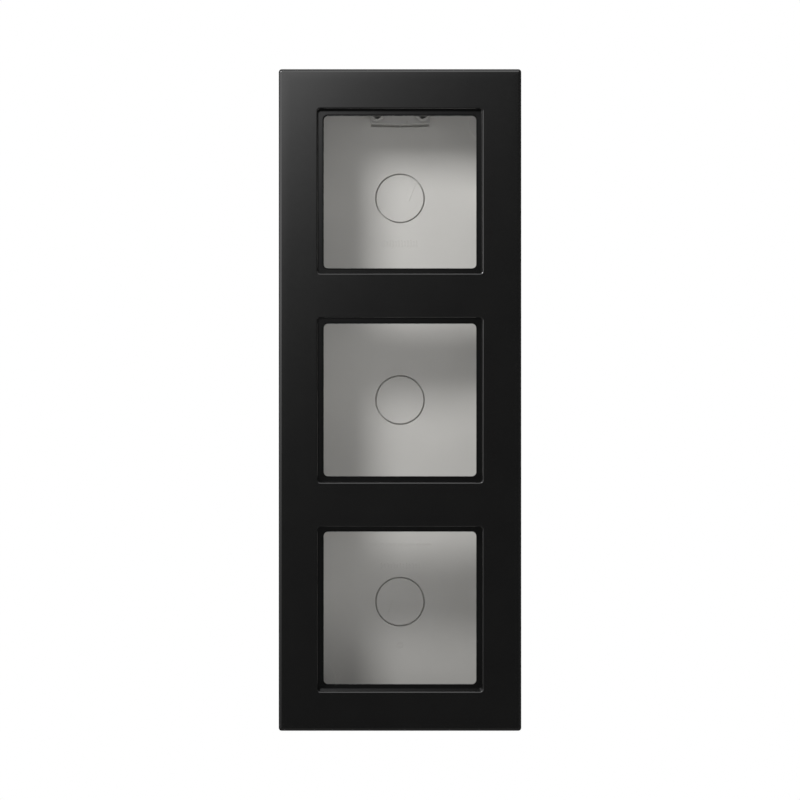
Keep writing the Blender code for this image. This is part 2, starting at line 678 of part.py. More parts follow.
def make_clamp_screw():
    """A small cross-head screw with its head's underside at y = 0 and its tip towards +Y."""
    profile = [
        (CLAMP_SHANK_RADIUS * 0.3, CLAMP_SHANK),
        (CLAMP_SHANK_RADIUS, CLAMP_SHANK - CLAMP_SHANK_RADIUS),
        (CLAMP_SHANK_RADIUS, 0.0),
        (CLAMP_HEAD_RADIUS, 0.0),
        (CLAMP_HEAD_RADIUS, -CLAMP_HEAD * 0.6),
        (CLAMP_HEAD_RADIUS * 0.7, -CLAMP_HEAD),
    ]
    screw = turned("clamp_screw", profile)
    arm = CLAMP_CROSS / 2
    half = CLAMP_CROSS_WIDTH / 2
    ys = (-CLAMP_HEAD - OVERSHOOT, -CLAMP_HEAD + CLAMP_CROSS_DEPTH)
    cutters = [
        block("cross", (-arm, arm), ys, (-half, half)),
        block("cross", (-half, half), ys, (-arm, arm)),
    ]
    return combine(screw, cutters, "DIFFERENCE")


def place_copies(pattern, names_and_places, material, parent):
    """One object for each place, all with the pattern's mesh; the pattern itself goes."""
    mesh = finish(pattern, material).data
    for name, place in names_and_places:
        copy = bpy.data.objects.new(name, mesh)
        bpy.context.scene.collection.objects.link(copy)
        copy.location = place
        copy.parent = parent
        copy.matrix_parent_inverse = parent.matrix_world.inverted()
    bpy.data.objects.remove(pattern, do_unlink=True)


def device_screw_places():
    y = POST_TOP_Y - CONTACT_GAP
    places = []
    for side_name, side in (("left", -1), ("right", 1)):
        for number, z in enumerate(reversed(GANG_ZS), start=1):
            places.append((f"device_screw_{side_name}_{number}", (side * SCREW_X, y, z)))
    return places


def clamp_screw_places():
    y = COUNTERBORE_Y - CONTACT_GAP
    return [
        ("strain_relief_screw_left", (-CLAMP_SCREW_X, y, CLAMP_SCREW_Z)),
        ("strain_relief_screw_right", (CLAMP_SCREW_X, y, CLAMP_SCREW_Z)),
    ]


def main():
    clear_scene()
    frame_black = plastic_or_metal("frame_matt_black", (0.012, 0.012, 0.012), 0.5)
    shell_black = plastic_or_metal("housing_black", (0.016, 0.016, 0.016), 0.6)
    base_grey = plastic_or_metal("base_grey", (0.52, 0.515, 0.485), 0.5)
    steel = plastic_or_metal("zinc_plated_steel", (0.62, 0.62, 0.60), 0.35, 1.0)

    base = finish(make_base_plate(), base_grey)
    shell = finish(make_housing_shell(), shell_black, (0.0, SHELL_FRONT_Y, 0.0), base)
    finish(make_cover_frame(), frame_black, (0.0, FRONT_Y, 0.0), shell)
    for name, end in (("cable_entry_top", 1), ("cable_entry_bottom", -1)):
        origin = (0.0, ENTRY_REAR_Y, end * SHELL_LENGTH / 2)
        finish(make_cable_entry(name, end), shell_black, origin, shell)
    bar = finish(make_strain_relief_bar(), base_grey, (0.0, BAR_FRONT_Y, BAR_Z), base)
    place_copies(make_clamp_screw(), clamp_screw_places(), steel, bar)
    place_copies(make_device_screw(), device_screw_places(), steel, base)


main()
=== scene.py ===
"""Looks of the three-gang surface housing: detailed pieces, materials, studio light and camera.

The wall is the plane y = 0, the front faces -Y and +Z is up. Lengths are in metres unless a comment
says otherwise.
"""

import json
import math

import bmesh
import bpy
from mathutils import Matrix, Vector


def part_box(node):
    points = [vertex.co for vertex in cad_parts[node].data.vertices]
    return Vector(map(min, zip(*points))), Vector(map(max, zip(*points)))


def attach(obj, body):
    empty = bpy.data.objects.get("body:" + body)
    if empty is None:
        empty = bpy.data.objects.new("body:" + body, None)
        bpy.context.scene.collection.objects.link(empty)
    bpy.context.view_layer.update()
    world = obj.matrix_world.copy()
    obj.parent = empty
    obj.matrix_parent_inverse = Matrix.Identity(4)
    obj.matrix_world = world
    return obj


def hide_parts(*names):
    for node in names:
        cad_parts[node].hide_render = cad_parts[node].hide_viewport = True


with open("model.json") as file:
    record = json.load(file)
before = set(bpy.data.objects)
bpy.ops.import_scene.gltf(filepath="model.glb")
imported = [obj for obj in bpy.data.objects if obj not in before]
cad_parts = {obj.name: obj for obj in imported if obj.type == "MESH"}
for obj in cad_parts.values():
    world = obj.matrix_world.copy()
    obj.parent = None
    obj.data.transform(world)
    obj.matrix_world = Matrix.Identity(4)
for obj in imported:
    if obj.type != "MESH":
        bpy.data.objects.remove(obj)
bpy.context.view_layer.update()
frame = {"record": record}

MM = 0.001
FRAME_LOW, FRAME_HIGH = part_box("cover_frame")
SHELL_LOW, SHELL_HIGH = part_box("housing_shell")
BAR_LOW, BAR_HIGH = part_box("strain_relief_bar")
ENTRY_LOW, ENTRY_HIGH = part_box("cable_entry_top")
MOUNTS = {mount["name"]: mount["pos_m"] for mount in frame["record"]["mounts"]}

# Gangs, and the gap that pieces which touch keep.
GANG_ZS = [MOUNTS[name][2] for name in ("ledge_bottom", "ledge_middle", "ledge_top")]
CROSSBAR_ZS = [(low + high) / 2 for low, high in zip(GANG_ZS, GANG_ZS[1:])]
CONTACT_GAP = 0.3 * MM
OVERSHOOT = 0.5 * MM

# Cover frame.
FRONT_Y = FRAME_LOW.y
FRAME_WIDTH = FRAME_HIGH.x - FRAME_LOW.x
FRAME_LENGTH = FRAME_HIGH.z - FRAME_LOW.z
FRAME_REAR_Y = FRONT_Y + 9.0 * MM
FRAME_FACE_Y = FRONT_Y + 2.0 * MM
FRAME_CORNER = 1.0 * MM
FRAME_FILLET = 1.0 * MM
FILLET_STEPS = 10
FRAME_WALL = 1.8 * MM
WINDOW = 56.0 * MM
WINDOW_CORNER = 0.9 * MM
WINDOW_FILLET = 0.4 * MM
LEDGE_Y = MOUNTS["ledge_middle"][1]
LEDGE_OPENING = 52.1 * MM
LEDGE_CORNER = 1.5 * MM
LEDGE_CHAMFER = 0.4 * MM
COLLAR_WALL = 1.5 * MM
COLLAR_REAR_Y = LEDGE_Y + 2.3 * MM
FRAME_RIB = 1.0 * MM
FRAME_RIB_HEIGHT = 4.5 * MM
FRAME_RIB_OFFSET = 18.0 * MM
PEG_RADIUS = 1.6 * MM
PEG_TIP_RADIUS = 1.2 * MM
PEG_X = 34.5 * MM
PEG_END_Z = 106.0 * MM

# Housing shell.
SPIGOT_HEIGHT = 2.0 * MM
SPIGOT_WALL = 1.2 * MM
SHELL_WIDTH = SHELL_HIGH.x - SHELL_LOW.x
SHELL_LENGTH = SHELL_HIGH.z - SHELL_LOW.z
SHELL_FRONT_Y = SHELL_LOW.y + SPIGOT_HEIGHT
SHELL_REAR_Y = SHELL_HIGH.y
SHELL_CORNER = 1.2 * MM
SHELL_INNER_CORNER = 0.5 * MM
SHELL_WALL = 2.0 * MM
FLANGE_REAR_Y = SHELL_FRONT_Y + 2.0 * MM
FLANGE_OPENING = (67.0 * MM, 62.0 * MM)
FLANGE_CORNER = 3.0 * MM
SHELL_RIB = 1.2 * MM
SHELL_RIB_REACH = 2.8 * MM
SHELL_RIB_OFFSET = 3.5 * MM
SHELL_RIB_REAR_Y = -9.0 * MM
INNER_X = SHELL_WIDTH / 2 - SHELL_WALL
INNER_Z = SHELL_LENGTH / 2 - SHELL_WALL
PEG_TIP_Y = FRAME_HIGH.y

# Cable entries in the end walls, and the rails that hold them.
ENTRY_REAR_Y = ENTRY_HIGH.y
ENTRY_PLATE_Y = ENTRY_LOW.y
ENTRY_PLATE_HALF = ENTRY_HIGH.x
ENTRY_PLATE = 1.2 * MM
ENTRY_SLOT_HALF = 13.0 * MM
ENTRY_SLOT_Y = -20.3 * MM
ENTRY_RING_RADII = (5.0 * MM, 8.0 * MM, 11.0 * MM)
ENTRY_RING_WIDTH = 0.5 * MM
ENTRY_RING_DEPTH = 0.6 * MM
ENTRY_GRIP_HALF = 8.0 * MM
ENTRY_GRIP = 0.8 * MM
ENTRY_GRIP_YS = (-18.0 * MM, -16.0 * MM)
RAIL_WALL = 1.4 * MM
RAIL_LIP_HALF = 13.4 * MM

# Base plate.
BASE_X = INNER_X - 0.4 * MM
BASE_Z = INNER_Z - 0.4 * MM
BASE_FLOOR_Y = -2.5 * MM
BASE_CORNER = 1.0 * MM
RIM_WALL = 1.4 * MM
RIM_Y = -7.5 * MM
BASE_NOTCH_HALF = 17.2 * MM
BASE_NOTCH_Z = 106.5 * MM
KNOCKOUT_RADIUS = 8.5 * MM
KNOCKOUT_GROOVE = 0.45 * MM
KNOCKOUT_FRONT_DEPTH = 1.3 * MM
KNOCKOUT_REAR_DEPTH = 0.7 * MM
KNOCKOUT_REAR_GROOVE = 1.0 * MM
PADS = [((31.2 * MM, 97.8 * MM), 7.2 * MM), ((-31.0 * MM, -99.2 * MM), 8.4 * MM)]
PAD_Y = BASE_FLOOR_Y - 1.2 * MM
WALL_SLOT = (5.0 * MM, 9.5 * MM)
SLOT_ROUNDING = 0.49
CATCH_HALF = 2.5 * MM
CATCH_Y = -12.0 * MM
CATCH_NOSE = 0.25 * MM
CATCH_NOSE_LENGTH = 1.4 * MM
POCKET_DEPTH = 0.4 * MM
POCKET_CLEARANCE = 0.4 * MM

# Device screws and their posts.
SCREW_X = 30.0 * MM
POST_RADIUS = 2.9 * MM
POST_TOP_Y = -27.0 * MM
POST_BORE_RADIUS = 1.8 * MM
POST_BORE_Y = -7.0 * MM
GUSSET = 1.0 * MM
GUSSET_REACH = 6.0 * MM
GUSSET_HEIGHT = 12.0 * MM
GUSSET_TIP_SHARE = 0.8
POST_FLARE = 0.5 * MM
POST_FLARE_HEIGHT = 0.6 * MM
TOP_INSET = 0.5 * MM

# Strain relief.
COLLAR_HEIGHT = 0.7 * MM
BAR_FRONT_Y = BAR_LOW.y + COLLAR_HEIGHT
BAR_Z = BAR_HIGH.z - 3.1 * MM
CLAMP_SCREW_X = 8.0 * MM
CLAMP_SCREW_Z = 100.0 * MM
CLAMP_BOSS_RADIUS = 2.6 * MM
CLAMP_BOSS_Y = -7.5 * MM
CLAMP_BORE_RADIUS = 1.0 * MM
CLAMP_BORE_Y = -1.0 * MM
CLAMP_RIB_X = 13.4 * MM
CLAMP_RIB_Y = -4.5 * MM
BAR_REAR_Y = CLAMP_BOSS_Y - 0.4 * MM
BAR_WIDTH = 6.2 * MM
BAR_CORNER = 1.2 * MM
BAR_BULGE = 0.45 * MM
BAR_BULGE_HALF = 6.0 * MM
BAR_TOOTH = 0.6 * MM
BAR_TOOTH_HALF = 5.0 * MM
BAR_TOOTH_OFFSET = 1.5 * MM
COLLAR_TOP_RADIUS = 1.9 * MM
COLLAR_FOOT_RADIUS = 2.5 * MM
COUNTERBORE_RADIUS = 1.65 * MM
COUNTERBORE_Y = BAR_FRONT_Y + 0.9 * MM
# The floor groove's corners on the right side, in millimetres.
FLOOR_GROOVE = [(0.3, 96.0), (10.3, 96.2), (10.3, 97.1), (0.3, 96.6)]
FLOOR_GROOVE_DEPTH = 1.5 * MM
GATE_PLACE = (2.45 * MM, 97.0 * MM)
GATE_RADIUS = 0.45 * MM
GATE_SHOULDER = 0.25 * MM
GATE_HEIGHT = 0.4 * MM
GATE_TAPER = 0.3 * MM
CREASE_START = 0.08 * MM
CREASE_END = 0.5 * MM
CREASE_DEPTH = 0.3 * MM

# Screws: head radius and height, then the shank and its thread.
DEVICE_HEAD = (2.8 * MM, 2.2 * MM)
DEVICE_SHANK = 1.5 * MM
DEVICE_LENGTH = 18.0 * MM
DEVICE_PITCH = 1.3 * MM
DEVICE_THREAD = 0.35 * MM
DEVICE_CROSS_ARM = 1.7 * MM
DEVICE_CROSS_DEPTH = 1.6 * MM
DEVICE_SLOT_HALF = 0.4 * MM
DEVICE_SLOT_DEPTH = 1.1 * MM
CLAMP_HEAD = (1.2 * MM, 1.2 * MM)
CLAMP_NECK = 0.62 * MM
CLAMP_SHANK = 0.7 * MM
CLAMP_LENGTH = 8.0 * MM
CLAMP_PITCH = 0.7 * MM
CLAMP_THREAD = 0.18 * MM
CLAMP_CROSS_ARM = 0.75 * MM
CLAMP_CROSS_HALF = 0.2 * MM
CLAMP_CROSS_DEPTH = 0.7 * MM
THREAD_ROWS_PER_TURN = 10
THREAD_CREST_SLOPE = 1.8
THREAD_BLANK = 0.8 * MM
THREAD_BLANK_SHARE = 0.4
POINT_TIP_SHARE = 0.15
POINT_LENGTH_SHARE = 1.6
CROSS_FLOOR_SHARE = 0.55
CROSS_WIDTH_SHARE = 0.6
CROSS_TAPER_SHARE = 0.4

# Raised marks, in millimetres; gang 0 is the lowest.
# Rows: count, pitch, gang, offset in Z, widths, heights.
MARK_ROWS = [
    (12, 1.05, 2, -16.0, [0.35], [2.5, 1.7, 2.1]),
    (13, 1.1, 0, 12.5, [0.35], [1.9, 1.3]),
    (7, 3.2, 0, 20.2, [2.2, 1.1], [0.35]),
]
# Thin lines: x, gang, offset in Z, length, and turn in degrees.
MARK_LINES = [(4.4, 2, 2.2, 6.4, -22), (-3.4, 0, -1.8, 4.8, -18)]
MARK_LINE_WIDTH = 0.15 * MM
MARK_HEIGHT = 0.12 * MM
MARK_SLOPE = 0.06 * MM
MARK_RING_RADIUS = 0.75 * MM
MARK_RING_WIDTH = 0.35 * MM
MARK_RING_FOOT = 0.41 * MM
MARK_RING_OFFSET = 15.2 * MM

# Edges and facets.
EDGE = 0.2 * MM
FINE_EDGE = 0.1 * MM
TINY = 0.05 * MM
CRISP_EDGE = 0.04 * MM
CORNER_STEPS = 8
CURVE_STEPS = 4
ROUND_STEPS = 64
KNOCKOUT_STEPS = 128
PEG_STEPS = 32
PAD_STEPS = 96
GATE_STEPS = 24
THREAD_STEPS = 48
MARK_RING_STEPS = 32
FLOOR_STEPS = 96
SOFTEN_SHARE = 0.48
BEVEL_SHARE = 0.3
SMOOTH_ANGLE = 32

# Materials.
MIDDLE_RANGE = (0.3, 0.7)
FLECKS_PER_MOTTLE = 9
ZINC_CLOUD = 1.2 * MM
ZINC_RING = 0.9 * MM
ZINC_DARK = (0.56, 0.56, 0.55)
ZINC_LIGHT = (0.68, 0.66, 0.60)
ZINC_ROUGHNESS = (0.28, 0.42)
ZINC_RING_HEIGHT = 0.004 * MM

# Camera and studio.
CAMERA_DISTANCE = 1208.0 * MM
CAMERA_LENS = 160.1
SENSOR = 36.0
KEY_PLACE = (-150.0 * MM, -323.0 * MM, 202.0 * MM)
KEY_SIZE = 105.0 * MM
KEY_POWER = 1.01
FILL_BASE = 0.715
FILL_X = 0.137
FILL_Z = -0.77
FILL_XX = 3.08
FILL_ZZ = 0.967
FILL_LIMITS = (0.3, 2.2)
FILL_STOPS = [(0.0, 1.0), (0.5, 1.0), (0.65, 0.45), (1.0, 0.45)]
GLOW_LEVEL = 0.0189
GLOW_X = -38.05
GLOW_Z = 32.0
GLOW_PEAK = 1.6
GLOW_LIMIT_Z = 15.0
GLOW_STOPS = [(0.0, 1.0), (0.22, 1.0), (0.34, 0.0), (1.0, 0.0)]
BAND_STOPS = [(0.0, 0.0), (0.03, 0.0), (0.07, 1.0), (0.24, 1.0), (0.34, 0.2), (1.0, 0.2)]
BAND_LEVEL = 0.04
BAND_DOWN = 0.22
HORIZON_STOPS = [(0.0, 0.0), (0.2, 0.0), (0.36, 1.0), (0.55, 1.0), (0.75, 0.3), (1.0, 0.1)]
HORIZON_LEFT = 0.32
HORIZON_LEFT_Z = 14.0
HORIZON_LEFT_PEAK = 2.0
HORIZON_TOP = 0.40
REFLECTED_BASE = 0.045
FLOOR_Z = -1.15
FLOOR_RADIUS = 1.5
FLOOR_FADE_START = 0.3
FLOOR_COLOUR = (0.9, 0.9, 0.9, 1.0)
FLOOR_ROUGHNESS = 0.9


def circle(radius, centre=(0.0, 0.0), steps=ROUND_STEPS):
    turns = [2 * math.pi * step / steps for step in range(steps)]
    return [(centre[0] + radius * math.cos(a), centre[1] + radius * math.sin(a)) for a in turns]


def rounded_rectangle(width, height, radius, centre=(0.0, 0.0)):
    """Outline points, anticlockwise from the lower right corner, with CORNER_STEPS per corner."""
    radius = max(radius, TINY)
    points = []
    for quarter, (side_x, side_z) in enumerate(((1, -1), (1, 1), (-1, 1), (-1, -1))):
        middle_x = centre[0] + side_x * (width / 2 - radius)
        middle_z = centre[1] + side_z * (height / 2 - radius)
        for step in range(CORNER_STEPS + 1):
            turn = math.pi / 2 * (quarter - 1 + step / CORNER_STEPS)
            points.append((middle_x + radius * math.cos(turn), middle_z + radius * math.sin(turn)))
    return points


def soften(path, reach, closed=False):
    """The path with each corner turned into a short curve that starts `reach` before it."""
    corners = [Vector(point) for point in path]
    count = len(corners)
    spots = range(count) if closed else range(1, count - 1)
    made = [] if closed else [tuple(corners[0])]
    for spot in spots:
        corner = corners[spot]
        ends = []
        for other in (corners[spot - 1], corners[(spot + 1) % count]):
            share = min(reach / (other - corner).length, SOFTEN_SHARE)
            ends.append(corner.lerp(other, share))
        for step in range(CURVE_STEPS + 1):
            t = step / CURVE_STEPS
            made.append(tuple(ends[0].lerp(corner, t).lerp(corner.lerp(ends[1], t), t)))
    return made if closed else made + [tuple(corners[-1])]


def at_depth(outline, y):
    return [(x, y, z) for x, z in outline]


def at_height(outline, z):
    return [(x, y, z) for x, y in outline]


def rectangle_rings(size, corner, centre, path):
    """Rings of a rounded rectangle that grows by the first number of each pair, at the second."""
    rings = []
    for grow, y in path:
        width, height = size[0] + 2 * grow, size[1] + 2 * grow
        rings.append(at_depth(rounded_rectangle(width, height, corner + grow, centre), y))
    return rings


def round_rings(radius, centre, path, steps=ROUND_STEPS):
    return [at_depth(circle(radius + grow, centre, steps), y) for grow, y in path]


def mouth(y, chamfer, inward, margin=EDGE):
    """Path that narrows a hole from the face at y, where the material lies towards `inward`."""
    lead = chamfer + margin
    return [(lead, y - inward * lead / 8), (chamfer, y), (0.0, y + inward * chamfer)]


def fillet(y, radius, side):
    """Quarter circle from a wall to the face at y, with the face towards `side` of the wall."""
    turns = [math.pi / 2 * step / FILLET_STEPS for step in range(FILLET_STEPS + 1)]
    return [(side * radius * (1 - math.cos(a)), y + radius * (1 - math.sin(a))) for a in turns]


def add_object(name, bm):
    bmesh.ops.recalc_face_normals(bm, faces=bm.faces)
    mesh = bpy.data.meshes.new(name)
    bm.to_mesh(mesh)
    bm.free()
    obj = bpy.data.objects.new(name, mesh)
    bpy.context.scene.collection.objects.link(obj)
    return obj


def bridge(bm, first, second):
    for index, corner in enumerate(first):
        following = (index + 1) % len(first)
        bm.faces.new((corner, first[following], second[following], second[index]))


def loft(name, rings):
    """A closed solid through rings that hold the same number of points."""
    bm = bmesh.new()
    loops = [[bm.verts.new(point) for point in ring] for ring in rings]
    for first, second in zip(loops, loops[1:]):
        bridge(bm, first, second)
    bm.faces.new(loops[0])
    bm.faces.new(loops[-1])
    return add_object(name, bm)


def sleeve(name, rings):
    """A closed hollow solid: the last ring joins the first."""
    bm = bmesh.new()
    loops = [[bm.verts.new(point) for point in ring] for ring in rings]
    for index, loop in enumerate(loops):
        bridge(bm, loop, loops[(index + 1) % len(loops)])
    return add_object(name, bm)


def block(name, xs, ys, zs, edge=FINE_EDGE):
    """A box with softened edges."""
    low = Vector(min(pair) for pair in (xs, ys, zs))
    high = Vector(max(pair) for pair in (xs, ys, zs))
    bm = bmesh.new()
    bmesh.ops.create_cube(bm, size=1.0)
    for corner in bm.verts:
        corner.co = [
            low[axis] + (corner.co[axis] + 0.5) * (high[axis] - low[axis]) for axis in range(3)
        ]
    reach = min(edge, BEVEL_SHARE * min(high - low))
    bmesh.ops.bevel(
        bm, geom=list(bm.edges), offset=reach, segments=2, affect="EDGES", profile=0.5
    )
    return add_object(name, bm)


def combine(body, tools, operation):
    """Unites the tools with the body, or cuts them from it, and removes them."""
    for tool in tools:
        modifier = body.modifiers.new(tool.name, "BOOLEAN")
        modifier.operation = operation
        modifier.solver = "MANIFOLD"
        modifier.object = tool
    bpy.context.view_layer.update()
    graph = bpy.context.evaluated_depsgraph_get()
    mesh = bpy.data.meshes.new_from_object(body.evaluated_get(graph))
    mesh.name = body.name
    body.modifiers.clear()
    body.data = mesh
    for tool in tools:
        bpy.data.objects.remove(tool, do_unlink=True)
    return body


def finish_piece(piece, node, body, material):
    """Shades the piece, gives it its material and lets it stand for its CAD node."""
    piece.data.materials.clear()
    piece.data.materials.append(material)
    piece.data.shade_smooth()
    piece.data.set_sharp_from_angle(angle=math.radians(SMOOTH_ANGLE))
    weighted = piece.modifiers.new("weighted_normals", "WEIGHTED_NORMAL")
    weighted.keep_sharp = True
    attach(piece, body)
    if node is not None:
        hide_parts(node)
    return piece


# Cover frame.


def make_cover_frame():
    size = (FRAME_WIDTH, FRAME_LENGTH)
    front = fillet(FRONT_Y, FRAME_FILLET, -1) + [(-4 * FRAME_FILLET, FRONT_Y)]
    rear = soften([(-2 * EDGE, FRAME_REAR_Y), (0.0, FRAME_REAR_Y), (0.0, FRONT_Y)], EDGE)
    rings = rectangle_rings(size, FRAME_CORNER, (0, 0), rear[:-1] + front)
    body = loft("cover_frame_moulding", rings)
    inner = (FRAME_WIDTH - 2 * FRAME_WALL, FRAME_LENGTH - 2 * FRAME_WALL)
    path = soften(mouth(FRAME_REAR_Y, EDGE, -1) + [(0.0, FRAME_FACE_Y)], FINE_EDGE)
    hollow = loft("hollow", rectangle_rings(inner, SHELL_INNER_CORNER, (0, 0), path))
    combine(body, [hollow], "DIFFERENCE")
    collar = WINDOW + 2 * COLLAR_WALL
    path = soften(
        [(0.0, FRAME_FACE_Y - OVERSHOOT), (0.0, COLLAR_REAR_Y), (-EDGE, COLLAR_REAR_Y)], FINE_EDGE
    )
    additions = []
    for z in GANG_ZS:
        rings = rectangle_rings((collar, collar), WINDOW_CORNER + COLLAR_WALL, (0, z), path)
        additions.append(loft("collar", rings))
    additions += frame_ribs(collar / 2, inner[0] / 2, inner[1] / 2)
    additions += frame_pegs()
    combine(body, additions, "UNION")
    return combine(body, frame_windows(), "DIFFERENCE")


def frame_ribs(collar_half, inner_x, inner_z):
    ys = (FRAME_FACE_Y - OVERSHOOT, FRAME_FACE_Y + FRAME_RIB_HEIGHT)
    ribs = []
    for side in (-1, 1):
        spans = [(low + collar_half, high - collar_half) for low, high in zip(GANG_ZS, GANG_ZS[1:])]
        spans += [(-inner_z, GANG_ZS[0] - collar_half), (GANG_ZS[-1] + collar_half, inner_z)]
        middle_x = side * FRAME_RIB_OFFSET
        xs = (middle_x - FRAME_RIB / 2, middle_x + FRAME_RIB / 2)
        for low, high in spans:
            ribs.append(block("rib", xs, ys, (low - OVERSHOOT, high + OVERSHOOT)))
        xs = (side * (collar_half - OVERSHOOT), side * (inner_x + OVERSHOOT))
        for gang_z in GANG_ZS:
            for middle_z in (gang_z - FRAME_RIB_OFFSET, gang_z + FRAME_RIB_OFFSET):
                zs = (middle_z - FRAME_RIB / 2, middle_z + FRAME_RIB / 2)
                ribs.append(block("rib", xs, ys, zs))
    return ribs


def peg_places():
    heights = [-PEG_END_Z, *CROSSBAR_ZS, PEG_END_Z]
    return [(side * PEG_X, z) for side in (-1, 1) for z in heights]


def frame_pegs():
    tip = PEG_TIP_RADIUS - PEG_RADIUS
    path = soften(
        [
            (0.0, FRAME_FACE_Y - OVERSHOOT),
            (0.0, PEG_TIP_Y - MM),
            (tip, PEG_TIP_Y),
            (2 * tip, PEG_TIP_Y),
        ],
        FINE_EDGE,
    )
    return [loft("peg", round_rings(PEG_RADIUS, place, path, PEG_STEPS)) for place in peg_places()]


def frame_windows():
    """Cutters for each window with its rounded mouth, and for the opening of its ledge."""
    cutters = []
    for z in GANG_ZS:
        path = [(WINDOW_FILLET, FRONT_Y - TINY), *fillet(FRONT_Y, WINDOW_FILLET, 1)[::-1]]
        path.append((0.0, LEDGE_Y))
        rings = rectangle_rings((WINDOW, WINDOW), WINDOW_CORNER, (0, z), path)
        cutters.append(loft("window", rings))
        path = mouth(LEDGE_Y, LEDGE_CHAMFER, 1, TINY) + mouth(COLLAR_REAR_Y, TINY, -1, TINY)[::-1]
        size = (LEDGE_OPENING, LEDGE_OPENING)
        rings = rectangle_rings(size, LEDGE_CORNER, (0, z), soften(path, CRISP_EDGE))
        cutters.append(loft("ledge_opening", rings))
    return cutters


# Housing shell.


def make_housing_shell():
    size = (SHELL_WIDTH, SHELL_LENGTH)
    path = soften(
        [
            (-3 * EDGE, SHELL_REAR_Y),
            (0.0, SHELL_REAR_Y),
            (0.0, SHELL_FRONT_Y),
            (-3 * EDGE, SHELL_FRONT_Y),
        ],
        EDGE,
    )
    shell = loft("housing_moulding", rectangle_rings(size, SHELL_CORNER, (0, 0), path))
    path = soften(mouth(SHELL_REAR_Y, EDGE, -1) + [(0.0, FLANGE_REAR_Y)], FINE_EDGE)
    inner = (2 * INNER_X, 2 * INNER_Z)
    hollow = loft("hollow", rectangle_rings(inner, SHELL_INNER_CORNER, (0, 0), path))
    combine(shell, [hollow], "DIFFERENCE")
    combine(shell, [shell_spigot(), *shell_ribs(), *entry_rails(-1), *entry_rails(1)], "UNION")
    cutters = []
    path = mouth(SHELL_LOW.y, TINY, 1)[:1] + [(0.0, SHELL_FRONT_Y + EDGE)]
    path += mouth(FLANGE_REAR_Y, EDGE, -1)[::-1]
    for z in GANG_ZS:
        rings = rectangle_rings(FLANGE_OPENING, FLANGE_CORNER, (0, z), soften(path, FINE_EDGE))
        cutters.append(loft("flange_opening", rings))
    for place in peg_places():
        hole = [(0.0, SHELL_LOW.y), (0.0, FLANGE_REAR_Y + OVERSHOOT)]
        rings = round_rings(PEG_RADIUS + CONTACT_GAP, place, hole, PEG_STEPS)
        cutters.append(loft("peg_hole", rings))
    for side in (-1, 1):
        zs = (side * (INNER_Z - OVERSHOOT), side * (SHELL_LENGTH / 2 + OVERSHOOT))
        ys = (ENTRY_SLOT_Y, SHELL_REAR_Y + 4 * EDGE)
        cutters.append(block("entry_slot", (-ENTRY_SLOT_HALF, ENTRY_SLOT_HALF), ys, zs))
        cutters += catch_pockets(side)
    return combine(shell, cutters, "DIFFERENCE")


def shell_spigot():
    """The raised ring that the cover frame's outer wall drops over."""
    size = (
        FRAME_WIDTH - 2 * (FRAME_WALL + CONTACT_GAP),
        FRAME_LENGTH - 2 * (FRAME_WALL + CONTACT_GAP),
    )
    foot_y = SHELL_FRONT_Y + OVERSHOOT
    profile = [(0.0, foot_y), (0.0, SHELL_LOW.y)]
    profile += [(-SPIGOT_WALL, SHELL_LOW.y), (-SPIGOT_WALL, foot_y)]
    path = soften(profile, FINE_EDGE, closed=True)
    return sleeve("spigot", rectangle_rings(size, SHELL_INNER_CORNER, (0, 0), path))


def shell_ribs():
    ribs = []
    ys = (FLANGE_REAR_Y - OVERSHOOT, SHELL_RIB_REAR_Y)
    for side in (-1, 1):
        xs = (side * (INNER_X - SHELL_RIB_REACH), side * (INNER_X + OVERSHOOT))
        for bar_z in CROSSBAR_ZS:
            for middle in (bar_z - SHELL_RIB_OFFSET, bar_z + SHELL_RIB_OFFSET):
                ribs.append(block("rib", xs, ys, (middle - SHELL_RIB / 2, middle + SHELL_RIB / 2)))
    return ribs


def entry_rails(end):
    """Two hooked rails and a front stop, inside the end wall on the side of `end`."""
    lip_top = INNER_Z - CONTACT_GAP - ENTRY_PLATE - CONTACT_GAP
    low = lip_top - RAIL_WALL
    leg_inner = ENTRY_PLATE_HALF + CONTACT_GAP
    leg_outer = leg_inner + RAIL_WALL
    stop_y = ENTRY_PLATE_Y - CONTACT_GAP
    wall = INNER_Z + OVERSHOOT
    hook = [(leg_inner, wall), (leg_inner, lip_top), (RAIL_LIP_HALF, lip_top), (RAIL_LIP_HALF, low)]
    hook = soften(hook + [(leg_outer, low), (leg_outer, wall)], FINE_EDGE)
    rails = []
    for side in (-1, 1):
        outline = [(side * x, end * z) for x, z in hook]
        ends = (stop_y - RAIL_WALL + FINE_EDGE, SHELL_REAR_Y - FINE_EDGE)
        rails.append(loft("rail", [at_depth(outline, y) for y in ends]))
    half = leg_outer - FINE_EDGE
    stop_ys = (stop_y - RAIL_WALL, stop_y)
    rails.append(block("stop", (-half, half), stop_ys, (end * (low + FINE_EDGE), end * wall)))
    return rails


def catch_pockets(side):
    xs = (side * (INNER_X - OVERSHOOT), side * (INNER_X + POCKET_DEPTH))
    nose_y = CATCH_Y + CATCH_NOSE_LENGTH / 2
    ys = (nose_y - CATCH_NOSE_LENGTH, nose_y + CATCH_NOSE_LENGTH)
    half = CATCH_HALF + POCKET_CLEARANCE
    return [block("pocket", xs, ys, (z - half, z + half), TINY) for z in CROSSBAR_ZS]


# Cable entries.


